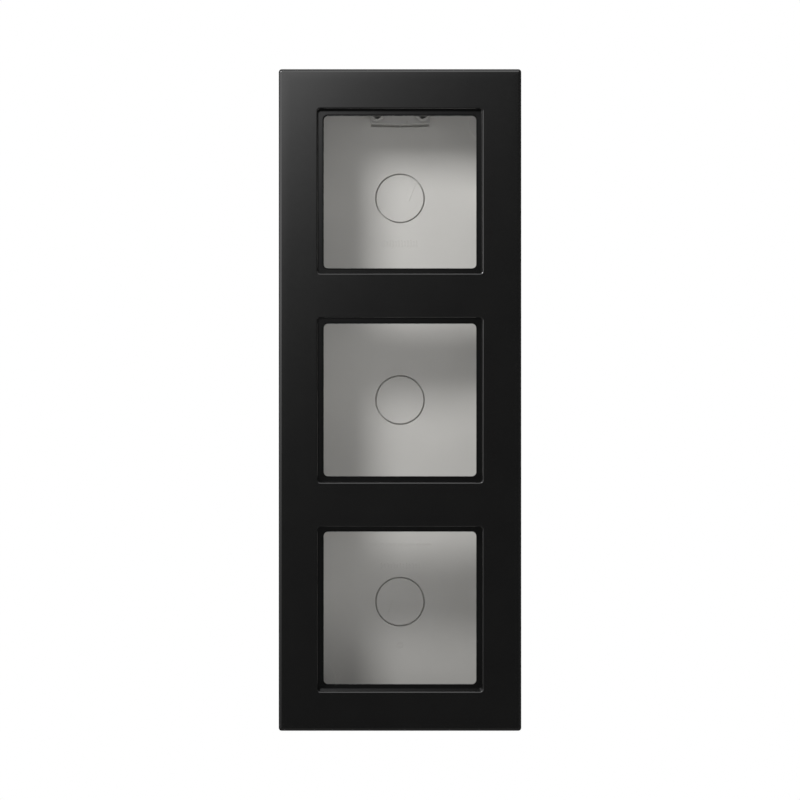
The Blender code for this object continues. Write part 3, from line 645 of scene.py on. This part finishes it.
def make_cable_entry(name, end):
    slot_half = ENTRY_SLOT_HALF - CONTACT_GAP
    outer_z = SHELL_LENGTH / 2
    plate_z = INNER_Z - CONTACT_GAP
    inner_z = plate_z - ENTRY_PLATE
    ys = (ENTRY_SLOT_Y + CONTACT_GAP, ENTRY_REAR_Y)
    entry = block(name, (-slot_half, slot_half), ys, (end * (plate_z - OVERSHOOT), end * outer_z))
    plate_xs = (-ENTRY_PLATE_HALF, ENTRY_PLATE_HALF)
    plate_ys = (ENTRY_PLATE_Y, ENTRY_REAR_Y)
    additions = [block("plate", plate_xs, plate_ys, (end * inner_z, end * plate_z))]
    grip_zs = (end * (inner_z - ENTRY_GRIP), end * (inner_z + OVERSHOOT))
    for y in ENTRY_GRIP_YS:
        grip_ys = (y - ENTRY_GRIP / 2, y + ENTRY_GRIP / 2)
        grip_xs = (-ENTRY_GRIP_HALF, ENTRY_GRIP_HALF)
        additions.append(block("grip", grip_xs, grip_ys, grip_zs, EDGE))
    combine(entry, additions, "UNION")
    rings = []
    for radius in ENTRY_RING_RADII:
        half = ENTRY_RING_WIDTH / 2
        floor_z = end * (outer_z - ENTRY_RING_DEPTH)
        top_z = end * (outer_z + OVERSHOOT)
        profile = [(-half, top_z), (-half / 2, floor_z), (half / 2, floor_z), (half, top_z)]
        outlines = [
            at_height(circle(radius + grow, (0.0, ENTRY_REAR_Y), KNOCKOUT_STEPS), z)
            for grow, z in profile
        ]
        rings.append(sleeve("ring", outlines))
    return combine(entry, rings, "DIFFERENCE")


# Base plate.


def make_base_plate():
    size = (2 * BASE_X, 2 * BASE_Z)
    profile = [(-2 * RIM_WALL, 0.0), (0.0, 0.0), (0.0, RIM_Y), (-RIM_WALL, RIM_Y)]
    profile += [(-RIM_WALL, BASE_FLOOR_Y), (-2 * RIM_WALL, BASE_FLOOR_Y)]
    path = soften(profile, EDGE)
    base = loft("base_moulding", rectangle_rings(size, BASE_CORNER, (0, 0), path))
    cutters = []
    for end in (-1, 1):
        zs = (end * BASE_NOTCH_Z, end * (BASE_Z + OVERSHOOT))
        ys = (OVERSHOOT, RIM_Y - OVERSHOOT)
        cutters.append(block("notch", (-BASE_NOTCH_HALF, BASE_NOTCH_HALF), ys, zs))
    combine(base, cutters, "DIFFERENCE")
    additions = [*wall_pads(), *base_catches()]
    for side in (-1, 1):
        for z in GANG_ZS:
            additions += post(side * SCREW_X, z)
        additions += clamp_boss(side)
    combine(base, additions, "UNION")
    return combine(base, base_cutters(), "DIFFERENCE")


def wall_pads():
    """Round pads around the wall slots, ending at the rim where they would pass it."""
    reach = BASE_X - RIM_WALL / 2
    pads = []
    for place, radius in PADS:
        path = soften([(0.0, BASE_FLOOR_Y + OVERSHOOT), (0.0, PAD_Y), (-MM, PAD_Y)], FINE_EDGE)
        rings = []
        for ring in round_rings(radius, place, path, PAD_STEPS):
            rings.append([(max(-reach, min(reach, x)), y, z) for x, y, z in ring])
        pads.append(loft("pad", rings))
    return pads


def base_catches():
    """Tongues on the rim, each with a low nose towards the housing's wall."""
    catches = []
    for side in (-1, 1):
        for middle in CROSSBAR_ZS:
            zs = (middle - CATCH_HALF, middle + CATCH_HALF)
            xs = (side * (BASE_X - RIM_WALL), side * BASE_X)
            catches.append(block("tongue", xs, (RIM_Y + OVERSHOOT, CATCH_Y), zs))
            nose_x = side * (BASE_X + CATCH_NOSE)
            root_x = side * (BASE_X - OVERSHOOT)
            profile = [
                (root_x, CATCH_Y + FINE_EDGE),
                (side * BASE_X, CATCH_Y + FINE_EDGE),
                (nose_x, CATCH_Y + CATCH_NOSE_LENGTH / 2),
                (nose_x, CATCH_Y + CATCH_NOSE_LENGTH),
                (root_x, CATCH_Y + CATCH_NOSE_LENGTH),
            ]
            noses = (middle - CATCH_HALF + FINE_EDGE, middle + CATCH_HALF - FINE_EDGE)
            catches.append(loft("nose", [at_height(profile, z) for z in noses]))
    return catches


def gusset(x, z, direction):
    """A triangular rib along Z at the foot of a post."""
    foot_y = BASE_FLOOR_Y + OVERSHOOT
    tip_y = BASE_FLOOR_Y - GUSSET_HEIGHT
    profile = [
        (foot_y, z),
        (foot_y, z + direction * GUSSET_REACH),
        (BASE_FLOOR_Y - OVERSHOOT, z + direction * GUSSET_REACH),
        (tip_y, z + direction * POST_RADIUS * GUSSET_TIP_SHARE),
        (tip_y, z),
    ]
    sides = (x - GUSSET / 2, x + GUSSET / 2)
    return loft("gusset", [[(side, y, height) for y, height in profile] for side in sides])


def post(x, z):
    """A device screw post with its gussets and a web to the rim."""
    side = math.copysign(1, x)
    profile = [
        (POST_FLARE, BASE_FLOOR_Y + OVERSHOOT),
        (POST_FLARE, BASE_FLOOR_Y - TINY),
        (0.0, BASE_FLOOR_Y - POST_FLARE_HEIGHT),
        (0.0, POST_TOP_Y),
        (-TOP_INSET, POST_TOP_Y),
    ]
    body = loft("post", round_rings(POST_RADIUS, (x, z), soften(profile, EDGE)))
    web_ys = (BASE_FLOOR_Y + OVERSHOOT, RIM_Y + OVERSHOOT)
    web_xs = (x, side * (BASE_X - RIM_WALL / 2))
    web = block("web", web_xs, web_ys, (z - GUSSET / 2, z + GUSSET / 2))
    return [body, web, gusset(x, z, -1), gusset(x, z, 1)]


def clamp_boss(side):
    x = side * CLAMP_SCREW_X
    foot_y = BASE_FLOOR_Y + OVERSHOOT
    path = soften([(0.0, foot_y), (0.0, CLAMP_BOSS_Y), (-TOP_INSET, CLAMP_BOSS_Y)], EDGE)
    boss = loft("boss", round_rings(CLAMP_BOSS_RADIUS, (x, CLAMP_SCREW_Z), path))
    zs = (CLAMP_SCREW_Z - GUSSET / 2, CLAMP_SCREW_Z + GUSSET / 2)
    return [boss, block("boss_rib", (x, side * CLAMP_RIB_X), (foot_y, CLAMP_RIB_Y), zs, EDGE)]


def base_cutters():
    cutters = []
    for z in GANG_ZS:
        groove_floor_y = BASE_FLOOR_Y + KNOCKOUT_FRONT_DEPTH
        cutters.append(knockout_ring(z, KNOCKOUT_GROOVE, BASE_FLOOR_Y, groove_floor_y))
        cutters.append(knockout_ring(z, KNOCKOUT_REAR_GROOVE, 0.0, -KNOCKOUT_REAR_DEPTH))
        for side in (-1, 1):
            path = soften(mouth(POST_TOP_Y, EDGE, 1) + [(0.0, POST_BORE_Y)], FINE_EDGE)
            cutters.append(loft("bore", round_rings(POST_BORE_RADIUS, (side * SCREW_X, z), path)))
    for side in (-1, 1):
        path = soften(mouth(CLAMP_BOSS_Y, EDGE, 1) + [(0.0, CLAMP_BORE_Y)], FINE_EDGE)
        centre = (side * CLAMP_SCREW_X, CLAMP_SCREW_Z)
        cutters.append(loft("bore", round_rings(CLAMP_BORE_RADIUS, centre, path)))
        groove = [(side * x * MM, z * MM) for x, z in FLOOR_GROOVE]
        groove_ys = (BASE_FLOOR_Y - OVERSHOOT, BASE_FLOOR_Y + FLOOR_GROOVE_DEPTH)
        cutters.append(loft("floor_groove", [at_depth(groove, y) for y in groove_ys]))
    for place, _ in PADS:
        path = soften(mouth(PAD_Y, EDGE, 1) + mouth(0.0, EDGE, -1)[::-1], FINE_EDGE)
        rings = rectangle_rings(WALL_SLOT, WALL_SLOT[0] * SLOT_ROUNDING, place, path)
        cutters.append(loft("slot", rings))
    return cutters


def knockout_ring(z, width, face_y, floor_y):
    """A groove with softened lips around a knock-out."""
    outward = math.copysign(1.0, face_y - floor_y)
    half = width / 2
    lip = FINE_EDGE / 2
    profile = [
        (-half - lip, face_y + outward * TINY),
        (-half - lip, face_y),
        (-half, face_y - outward * lip),
        (-half, floor_y),
        (half, floor_y),
        (half, face_y - outward * lip),
        (half + lip, face_y),
        (half + lip, face_y + outward * TINY),
    ]
    return sleeve("groove", round_rings(KNOCKOUT_RADIUS, (0, z), profile, KNOCKOUT_STEPS))


# Strain relief bar.


def make_strain_relief_bar():
    length = BAR_HIGH.x - BAR_LOW.x
    lower_z = BAR_Z - BAR_WIDTH / 2
    corners = []
    for side_x, side_z in ((1, -1), (1, 1), (-1, 1), (-1, -1)):
        corners.append((side_x * length / 2, BAR_Z + side_z * BAR_WIDTH / 2))
    outline = soften(corners, BAR_CORNER, closed=True)
    bulge = [(-BAR_BULGE_HALF, lower_z), (0.0, lower_z - BAR_BULGE), (BAR_BULGE_HALF, lower_z)]
    outline += soften([outline[-1], *bulge, outline[0]], BAR_CORNER)[1:-1]
    side = [(0.0, BAR_REAR_Y), (0.0, BAR_FRONT_Y)]
    path = soften([(2 * EDGE, BAR_REAR_Y), *side, (2 * EDGE, BAR_FRONT_Y)], EDGE)
    rings = []
    for inset, y in path:
        share_x = 1 - 2 * inset / length
        share_z = 1 - 2 * inset / BAR_WIDTH
        rings.append([(x * share_x, y, BAR_Z + (z - BAR_Z) * share_z) for x, z in outline])
    bar = loft("strain_relief_clamp", rings)
    additions = [gate_nub()]
    for middle in (BAR_Z - BAR_TOOTH_OFFSET, BAR_Z + BAR_TOOTH_OFFSET):
        zs = (middle - BAR_TOOTH / 2, middle + BAR_TOOTH / 2)
        ys = (BAR_REAR_Y - OVERSHOOT, BAR_REAR_Y + BAR_TOOTH)
        additions.append(block("tooth", (-BAR_TOOTH_HALF, BAR_TOOTH_HALF), ys, zs, EDGE))
    cutters = []
    collar = [(COLLAR_FOOT_RADIUS, BAR_FRONT_Y + OVERSHOOT), (COLLAR_FOOT_RADIUS, BAR_FRONT_Y)]
    collar += [(COLLAR_TOP_RADIUS, BAR_LOW.y), (COUNTERBORE_RADIUS - EDGE, BAR_LOW.y)]
    for side in (-1, 1):
        centre = (side * CLAMP_SCREW_X, CLAMP_SCREW_Z)
        rings = [at_depth(circle(radius, centre), y) for radius, y in soften(collar, FINE_EDGE)]
        additions.append(loft("collar", rings))
        path = soften(mouth(BAR_LOW.y, TINY, 1) + [(0.0, COUNTERBORE_Y)], CRISP_EDGE)
        cutters.append(loft("counterbore", round_rings(COUNTERBORE_RADIUS, centre, path)))
        cutters.append(collar_crease(centre))
        hole = [(0.0, COUNTERBORE_Y - OVERSHOOT), (0.0, BAR_REAR_Y + 2 * OVERSHOOT)]
        cutters.append(loft("hole", round_rings(CLAMP_BORE_RADIUS, centre, hole)))
    combine(bar, additions, "UNION")
    return combine(bar, cutters, "DIFFERENCE")


def collar_crease(centre):
    """A shallow groove around the foot of a collar."""
    low, high = COLLAR_FOOT_RADIUS + CREASE_START, COLLAR_FOOT_RADIUS + CREASE_END
    corners = [(low, BAR_FRONT_Y - OVERSHOOT), (low, BAR_FRONT_Y + CREASE_DEPTH)]
    corners += [(high, BAR_FRONT_Y + CREASE_DEPTH), (high, BAR_FRONT_Y - OVERSHOOT)]
    return sleeve("crease", [at_depth(circle(radius, centre), y) for radius, y in corners])


def gate_nub():
    """The small stub that a moulding gate leaves on the bar."""
    path = [(0.0, BAR_FRONT_Y + OVERSHOOT), (0.0, BAR_FRONT_Y - GATE_SHOULDER)]
    path = soften([*path, (-GATE_TAPER, BAR_FRONT_Y - GATE_HEIGHT)], FINE_EDGE)
    return loft("gate", round_rings(GATE_RADIUS, GATE_PLACE, path, GATE_STEPS))


# Screws: the head's underside is at y = 0, the tip points to +Y.


def screw_rings(head_profile, shank, length, pitch, depth, steps=THREAD_STEPS):
    """Rings from the tip to the head: a threaded shank with a cone point, then the head."""
    rows = int(length / pitch * THREAD_ROWS_PER_TURN)
    rings = []
    for row in range(rows + 1):
        y = length * (1 - row / rows)
        tip = length - y + POINT_TIP_SHARE * shank
        point = min(1.0, tip / (POINT_LENGTH_SHARE * shank))
        blank = max(0.0, min(1.0, (y - THREAD_BLANK) / THREAD_BLANK))
        ring = []
        for step in range(steps):
            turn = 2 * math.pi * step / steps
            phase = (y / pitch + step / steps) % 1.0
            crest = max(0.0, 1.0 - abs(2.0 * phase - 1.0) * THREAD_CREST_SLOPE)
            threaded = shank - depth * (1.0 - crest) * blank
            radius = point * (threaded - depth * THREAD_BLANK_SHARE * (1.0 - blank))
            ring.append((radius * math.cos(turn), y, radius * math.sin(turn)))
        rings.append(ring)
    return rings + [at_depth(circle(radius, (0, 0), steps), y) for radius, y in head_profile]


def cross_cutter(arm, half, top, bottom, along_x):
    """One tapered wing of a cross recess."""
    rings = []
    for y, share in ((top, 1.0), (bottom, CROSS_FLOOR_SHARE)):
        reach, width = (arm * share, half * (CROSS_WIDTH_SHARE + CROSS_TAPER_SHARE * share))
        xs, zs = (reach, width) if along_x else (width, reach)
        rings.append(at_depth([(xs, -zs), (xs, zs), (-xs, zs), (-xs, -zs)], y))
    return loft("cross", rings)


def make_device_screw(name):
    radius, height = DEVICE_HEAD
    profile = soften(
        [
            (DEVICE_SHANK * 0.9, 0.0),
            (radius, 0.0),
            (radius, -height * 0.5),
            (radius * 0.86, -height * 0.86),
            (radius * 0.55, -height),
        ],
        EDGE,
    )
    rings = screw_rings(profile, DEVICE_SHANK, DEVICE_LENGTH, DEVICE_PITCH, DEVICE_THREAD)
    screw = loft(name, rings)
    top = -height - OVERSHOOT
    slot_ys = (top, -height + DEVICE_SLOT_DEPTH)
    slot_zs = (-DEVICE_SLOT_HALF, DEVICE_SLOT_HALF)
    cutters = [block("slot", (-2 * radius, 2 * radius), slot_ys, slot_zs, TINY)]
    bottom = -height + DEVICE_CROSS_DEPTH
    for wing in (True, False):
        cutters.append(cross_cutter(DEVICE_CROSS_ARM, DEVICE_SLOT_HALF, top, bottom, wing))
    return combine(screw, cutters, "DIFFERENCE")


def make_clamp_screw(name):
    radius, height = CLAMP_HEAD
    profile = [(CLAMP_NECK, 0.0), (radius, 0.0), (radius, -height * 0.6)]
    profile = soften([*profile, (radius * 0.7, -height)], FINE_EDGE)
    profile.append((radius * 0.3, -height))
    rings = screw_rings(profile, CLAMP_SHANK, CLAMP_LENGTH, CLAMP_PITCH, CLAMP_THREAD)
    screw = loft(name, rings)
    top = -height - OVERSHOOT
    bottom = -height + CLAMP_CROSS_DEPTH
    cutters = []
    for wing in (True, False):
        cutters.append(cross_cutter(CLAMP_CROSS_ARM, CLAMP_CROSS_HALF, top, bottom, wing))
    return combine(screw, cutters, "DIFFERENCE")


# Raised marks on the base's floor.


def mark(x, z, width, height, turn=0.0):
    """A low raised bar with sloped sides, as a moulded mark has."""
    rings = []
    for grow, y in ((MARK_SLOPE, BASE_FLOOR_Y + TINY), (0.0, BASE_FLOOR_Y - MARK_HEIGHT)):
        corners = []
        for side_x, side_z in ((1, -1), (1, 1), (-1, 1), (-1, -1)):
            across = side_x * (width / 2 + grow)
            along = side_z * (height / 2 + grow)
            corners.append(
                (
                    x + across * math.cos(turn) - along * math.sin(turn),
                    y,
                    z + across * math.sin(turn) + along * math.cos(turn),
                )
            )
        rings.append(corners)
    return loft("mark", rings)


def mark_row(count, pitch, z, widths, heights):
    """A row of marks whose widths and heights repeat, all in millimetres but for z."""
    marks = []
    for step in range(count):
        x = (step - (count - 1) / 2) * pitch * MM
        width = widths[step % len(widths)] * MM
        marks.append(mark(x, z, width, heights[step % len(heights)] * MM))
    return marks


def mark_ring(z):
    low_y, high_y = BASE_FLOOR_Y + TINY, BASE_FLOOR_Y - MARK_HEIGHT
    path = [(-MARK_SLOPE, low_y), (0.0, high_y), (MARK_RING_WIDTH, high_y), (MARK_RING_FOOT, low_y)]
    return sleeve("mark", round_rings(MARK_RING_RADIUS, (0.0, z), path, MARK_RING_STEPS))


def make_marks():
    """Plain rows of bars and a ring, where the moulding carries its raised marks."""
    marks = []
    for count, pitch, gang, offset, widths, heights in MARK_ROWS:
        marks += mark_row(count, pitch, GANG_ZS[gang] + offset * MM, widths, heights)
    marks.append(mark_ring(GANG_ZS[0] - MARK_RING_OFFSET))
    for x, gang, offset, length, turn in MARK_LINES:
        z = GANG_ZS[gang] + offset * MM
        marks.append(mark(x * MM, z, MARK_LINE_WIDTH, length * MM, math.radians(turn)))
    return join("base_marks", marks)


def join(name, objects):
    bm = bmesh.new()
    for obj in objects:
        bm.from_mesh(obj.data)
        bpy.data.objects.remove(obj, do_unlink=True)
    return add_object(name, bm)


# Materials.


def add_node(tree, kind, inputs, **settings):
    """A shader node whose inputs are numbers, colours or other nodes' sockets."""
    made = tree.nodes.new(kind)
    for name, value in settings.items():
        setattr(made, name, value)
    for key, value in inputs.items():
        if isinstance(value, bpy.types.NodeSocket):
            tree.links.new(value, made.inputs[key])
        else:
            made.inputs[key].default_value = value
    return made


def noise(tree, place, size, detail=3.0, roughness=0.5):
    inputs = {"Vector": place, "Scale": 1.0 / size, "Detail": detail, "Roughness": roughness}
    return add_node(tree, "ShaderNodeTexNoise", inputs).outputs["Fac"]


def spread(tree, factor, low, high):
    """The factor's middle range turned into numbers from low to high."""
    start, end = MIDDLE_RANGE
    inputs = {"Value": factor, "From Min": start, "From Max": end, "To Min": low, "To Max": high}
    return add_node(tree, "ShaderNodeMapRange", inputs).outputs["Result"]


def blend_colours(tree, factor, first, second):
    mix = add_node(tree, "ShaderNodeMix", {"Factor": factor}, data_type="RGBA")
    for key, value in (("A", first), ("B", second)):
        socket = [s for s in mix.inputs if s.name == key and s.type == "RGBA"][0]
        if isinstance(value, bpy.types.NodeSocket):
            tree.links.new(value, socket)
        else:
            socket.default_value = (*value, 1.0)
    return [s for s in mix.outputs if s.type == "RGBA"][0]


def moulded_plastic(name, dark, light, roughness, grain, grain_height, mottle, ior, wave_height):
    """Moulded plastic: faint mottling, uneven gloss, fine grain and a very slight waviness."""
    material = bpy.data.materials.new(name)
    material.use_nodes = True
    tree = material.node_tree
    shader = tree.nodes["Principled BSDF"]
    place = tree.nodes.new("ShaderNodeTexCoord").outputs["Object"]
    cloud = noise(tree, place, mottle)
    fleck = noise(tree, place, mottle / FLECKS_PER_MOTTLE, 2.0)
    colour = blend_colours(tree, spread(tree, cloud, 0.0, 1.0), dark, light)
    tree.links.new(colour, shader.inputs["Base Color"])
    tree.links.new(spread(tree, fleck, roughness[0], roughness[1]), shader.inputs["Roughness"])
    shader.inputs["IOR"].default_value = ior
    wave = add_node(
        tree, "ShaderNodeBump", {"Height": cloud, "Distance": wave_height, "Strength": 1.0}
    )
    cells = add_node(
        tree, "ShaderNodeTexVoronoi", {"Vector": place, "Scale": 1.0 / grain}, feature="SMOOTH_F1"
    ).outputs["Distance"]
    grit = noise(tree, place, grain / 2, 2.0)
    height = add_node(tree, "ShaderNodeMath", {0: cells, 1: grit}, operation="ADD").outputs[0]
    bump = add_node(
        tree,
        "ShaderNodeBump",
        {"Height": height, "Distance": grain_height, "Strength": 1.0, "Normal": wave.outputs[0]},
    )
    tree.links.new(bump.outputs[0], shader.inputs["Normal"])
    return material


def plated_steel(name):
    """Zinc-plated steel: turning rings and a faint warm cast in places."""
    material = bpy.data.materials.new(name)
    material.use_nodes = True
    tree = material.node_tree
    shader = tree.nodes["Principled BSDF"]
    place = tree.nodes.new("ShaderNodeTexCoord").outputs["Object"]
    cloud = noise(tree, place, ZINC_CLOUD)
    rings = add_node(
        tree,
        "ShaderNodeTexWave",
        {"Vector": place, "Scale": 1.0 / ZINC_RING, "Distortion": 1.5, "Detail": 2.0},
        wave_type="RINGS",
        rings_direction="Y",
    ).outputs["Fac"]
    share = spread(tree, cloud, 0.0, 1.0)
    colour = blend_colours(tree, share, ZINC_DARK, ZINC_LIGHT)
    tree.links.new(colour, shader.inputs["Base Color"])
    tree.links.new(spread(tree, cloud, *ZINC_ROUGHNESS), shader.inputs["Roughness"])
    shader.inputs["Metallic"].default_value = 1.0
    bump_inputs = {"Height": rings, "Distance": ZINC_RING_HEIGHT, "Strength": 1.0}
    bump = add_node(tree, "ShaderNodeBump", bump_inputs)
    tree.links.new(bump.outputs[0], shader.inputs["Normal"])
    return material


# Studio.


def make_world():
    """White for the camera, a soft fill for matt surfaces, and its own look in reflections."""
    world = bpy.data.worlds.new("studio")
    bpy.context.scene.world = world
    world.use_nodes = True
    tree = world.node_tree
    place = tree.nodes.new("ShaderNodeTexCoord").outputs["Generated"]
    direction = add_node(tree, "ShaderNodeSeparateXYZ", {"Vector": place})
    path = tree.nodes.new("ShaderNodeLightPath")
    strength = add_node(
        tree,
        "ShaderNodeMix",
        {
            "Factor": path.outputs["Is Glossy Ray"],
            "A": fill_strength(tree, direction),
            "B": reflected_strength(tree, direction),
        },
    ).outputs["Result"]
    strength = add_node(
        tree, "ShaderNodeMix", {"Factor": path.outputs["Is Camera Ray"], "A": strength, "B": 1.0}
    ).outputs["Result"]
    background = tree.nodes["Background"]
    background.inputs["Color"].default_value = (1.0, 1.0, 1.0, 1.0)
    tree.links.new(strength, background.inputs["Strength"])


def multiply_add(tree, value, factor, addend):
    inputs = {0: value, 1: factor, 2: addend}
    return add_node(tree, "ShaderNodeMath", inputs, operation="MULTIPLY_ADD").outputs[0]


def fill_strength(tree, direction):
    """Light on matt surfaces: terms in x, z and their squares, less from behind."""
    x, z = direction.outputs["X"], direction.outputs["Z"]
    total = multiply_add(tree, x, FILL_X, FILL_BASE)
    total = multiply_add(tree, z, FILL_Z, total)
    total = multiply_add(tree, multiply_add(tree, x, x, 0.0), FILL_XX, total)
    total = multiply_add(tree, multiply_add(tree, z, z, 0.0), FILL_ZZ, total)
    inputs = {"Value": total, "Min": FILL_LIMITS[0], "Max": FILL_LIMITS[1]}
    total = add_node(tree, "ShaderNodeClamp", inputs).outputs["Result"]
    depth = multiply_add(tree, direction.outputs["Y"], 0.5, 0.5)
    return multiply_add(tree, total, ramp(tree, depth, FILL_STOPS), 0.0)


def ramp(tree, factor, stops):
    """A grey level from 0 to 1 that eases through the stops."""
    made = add_node(tree, "ShaderNodeValToRGB", {"Fac": factor})
    made.color_ramp.interpolation = "EASE"
    elements = made.color_ramp.elements
    while len(elements) < len(stops):
        elements.new(1.0)
    for element, (position, level) in zip(elements, stops):
        element.position = position
        element.color = (level, level, level, 1.0)
    return made.outputs["Color"]


def math_node(tree, operation, first, second=0.0):
    return add_node(tree, "ShaderNodeMath", {0: first, 1: second}, operation=operation).outputs[0]


def reflected_strength(tree, direction):
    """What gloss reflects: a glow that grows to the upper left, a band around it, a horizon."""
    x, z = direction.outputs["X"], direction.outputs["Z"]
    depth = multiply_add(tree, direction.outputs["Y"], 0.5, 0.5)
    power = multiply_add(tree, z, GLOW_Z, multiply_add(tree, x, GLOW_X, math.log(GLOW_LEVEL)))
    limit = math_node(tree, "EXPONENT", multiply_add(tree, z, GLOW_LIMIT_Z, 0.0))
    limit = math_node(tree, "MINIMUM", limit, GLOW_PEAK)
    glow = math_node(tree, "MINIMUM", math_node(tree, "EXPONENT", power), limit)
    down = math_node(tree, "MAXIMUM", multiply_add(tree, z, -BAND_DOWN, 0.0))
    down = multiply_add(tree, down, 1.0, BAND_LEVEL)
    total = multiply_add(tree, ramp(tree, depth, BAND_STOPS), down, REFLECTED_BASE)
    total = multiply_add(tree, ramp(tree, depth, GLOW_STOPS), glow, total)
    left = math_node(tree, "EXPONENT", multiply_add(tree, z, HORIZON_LEFT_Z, 0.0))
    left = math_node(tree, "MINIMUM", left, HORIZON_LEFT_PEAK)
    left_side = math_node(tree, "MAXIMUM", multiply_add(tree, x, -HORIZON_LEFT, 0.0))
    top_side = math_node(tree, "MAXIMUM", multiply_add(tree, z, HORIZON_TOP, 0.0))
    sides = multiply_add(tree, left, left_side, top_side)
    return multiply_add(tree, ramp(tree, depth, HORIZON_STOPS), sides, total)


def add_area_light(name, place, size, power, target=(0.0, 0.0, 0.0)):
    data = bpy.data.lights.new(name, "AREA")
    data.shape = "DISK"
    data.size = size
    data.energy = power
    light = bpy.data.objects.new(name, data)
    bpy.context.scene.collection.objects.link(light)
    light.location = place
    light.rotation_euler = (Vector(target) - Vector(place)).to_track_quat("-Z", "Y").to_euler()
    return light


def make_floor():
    """A pale round floor that fades out towards its edge."""
    bm = bmesh.new()
    bmesh.ops.create_circle(bm, cap_ends=True, radius=FLOOR_RADIUS, segments=FLOOR_STEPS)
    floor = add_object("floor", bm)
    floor.location = (0.0, 0.0, FLOOR_Z)
    material = bpy.data.materials.new("floor_pale")
    material.use_nodes = True
    tree = material.node_tree
    shader = tree.nodes["Principled BSDF"]
    shader.inputs["Base Color"].default_value = FLOOR_COLOUR
    shader.inputs["Roughness"].default_value = FLOOR_ROUGHNESS
    place = tree.nodes.new("ShaderNodeTexCoord").outputs["Object"]
    reach = add_node(tree, "ShaderNodeVectorMath", {0: place}, operation="LENGTH").outputs["Value"]
    start = FLOOR_FADE_START * FLOOR_RADIUS
    fade = {"Value": reach, "From Min": start, "From Max": FLOOR_RADIUS}
    fade = add_node(
        tree,
        "ShaderNodeMapRange",
        {**fade, "To Min": 1.0, "To Max": 0.0},
        interpolation_type="SMOOTHSTEP",
    )
    tree.links.new(fade.outputs["Result"], shader.inputs["Alpha"])
    floor.data.materials.append(material)
    floor.visible_glossy = False


def make_camera():
    data = bpy.data.cameras.new("camera")
    data.lens = CAMERA_LENS
    data.sensor_width = SENSOR
    camera = bpy.data.objects.new("camera", data)
    bpy.context.scene.collection.objects.link(camera)
    camera.location = (0.0, FRONT_Y - CAMERA_DISTANCE, 0.0)
    camera.rotation_euler = (math.pi / 2, 0.0, 0.0)
    bpy.context.scene.camera = camera


def main():
    bpy.context.scene.view_settings.view_transform = "Standard"
    make_camera()
    make_world()
    add_area_light("key", KEY_PLACE, KEY_SIZE, KEY_POWER)
    make_floor()

    lacquer = moulded_plastic(
        "frame_lacquer",
        dark=(0.0028, 0.0028, 0.0028),
        light=(0.0034, 0.0034, 0.0033),
        roughness=(0.070, 0.082),
        grain=0.16 * MM,
        grain_height=0.0002 * MM,
        mottle=14 * MM,
        ior=1.65,
        wave_height=0.0005 * MM,
    )
    housing = moulded_plastic(
        "housing_plastic",
        dark=(0.011, 0.011, 0.011),
        light=(0.015, 0.015, 0.0145),
        roughness=(0.52, 0.66),
        grain=0.35 * MM,
        grain_height=0.02 * MM,
        mottle=18 * MM,
        ior=1.45,
        wave_height=0.01 * MM,
    )
    entry = moulded_plastic(
        "entry_plastic",
        dark=(0.013, 0.013, 0.013),
        light=(0.018, 0.018, 0.017),
        roughness=(0.42, 0.55),
        grain=0.3 * MM,
        grain_height=0.012 * MM,
        mottle=9 * MM,
        ior=1.45,
        wave_height=0.01 * MM,
    )
    grey = moulded_plastic(
        "base_plastic",
        dark=(0.509, 0.500, 0.477),
        light=(0.529, 0.520, 0.497),
        roughness=(0.42, 0.52),
        grain=0.4 * MM,
        grain_height=0.004 * MM,
        mottle=16 * MM,
        ior=1.45,
        wave_height=0.01 * MM,
    )
    bar_grey = moulded_plastic(
        "bar_plastic",
        dark=(0.373, 0.367, 0.351),
        light=(0.393, 0.387, 0.371),
        roughness=(0.36, 0.46),
        grain=0.3 * MM,
        grain_height=0.003 * MM,
        mottle=6 * MM,
        ior=1.45,
        wave_height=0.006 * MM,
    )
    steel = plated_steel("zinc_plated_steel")

    finish_piece(make_cover_frame(), "cover_frame", "cover", lacquer)
    finish_piece(make_housing_shell(), "housing_shell", "housing", housing)
    for name, end in (("top", 1), ("bottom", -1)):
        piece = make_cable_entry(f"entry_plate_{name}", end)
        finish_piece(piece, f"cable_entry_{name}", f"entry_{name}", entry)
    finish_piece(make_base_plate(), "base_plate", "base", grey)
    finish_piece(make_marks(), None, "base", grey)
    finish_piece(make_strain_relief_bar(), "strain_relief_bar", "clamp_bar", bar_grey)
    for side_name, side in (("left", -1), ("right", 1)):
        piece = make_clamp_screw(f"clamp_screw_{side_name}_zinc")
        piece.location = (side * CLAMP_SCREW_X, COUNTERBORE_Y - CONTACT_GAP, CLAMP_SCREW_Z)
        node = f"strain_relief_screw_{side_name}"
        finish_piece(piece, node, f"clamp_screw_{side_name}", steel)
        for number, z in enumerate(reversed(GANG_ZS), start=1):
            piece = make_device_screw(f"device_screw_{side_name}_{number}_zinc")
            piece.location = (side * SCREW_X, POST_TOP_Y - CONTACT_GAP, z)
            node = f"device_screw_{side_name}_{number}"
            finish_piece(piece, node, f"screw_{side_name}_{number}", steel)


main()
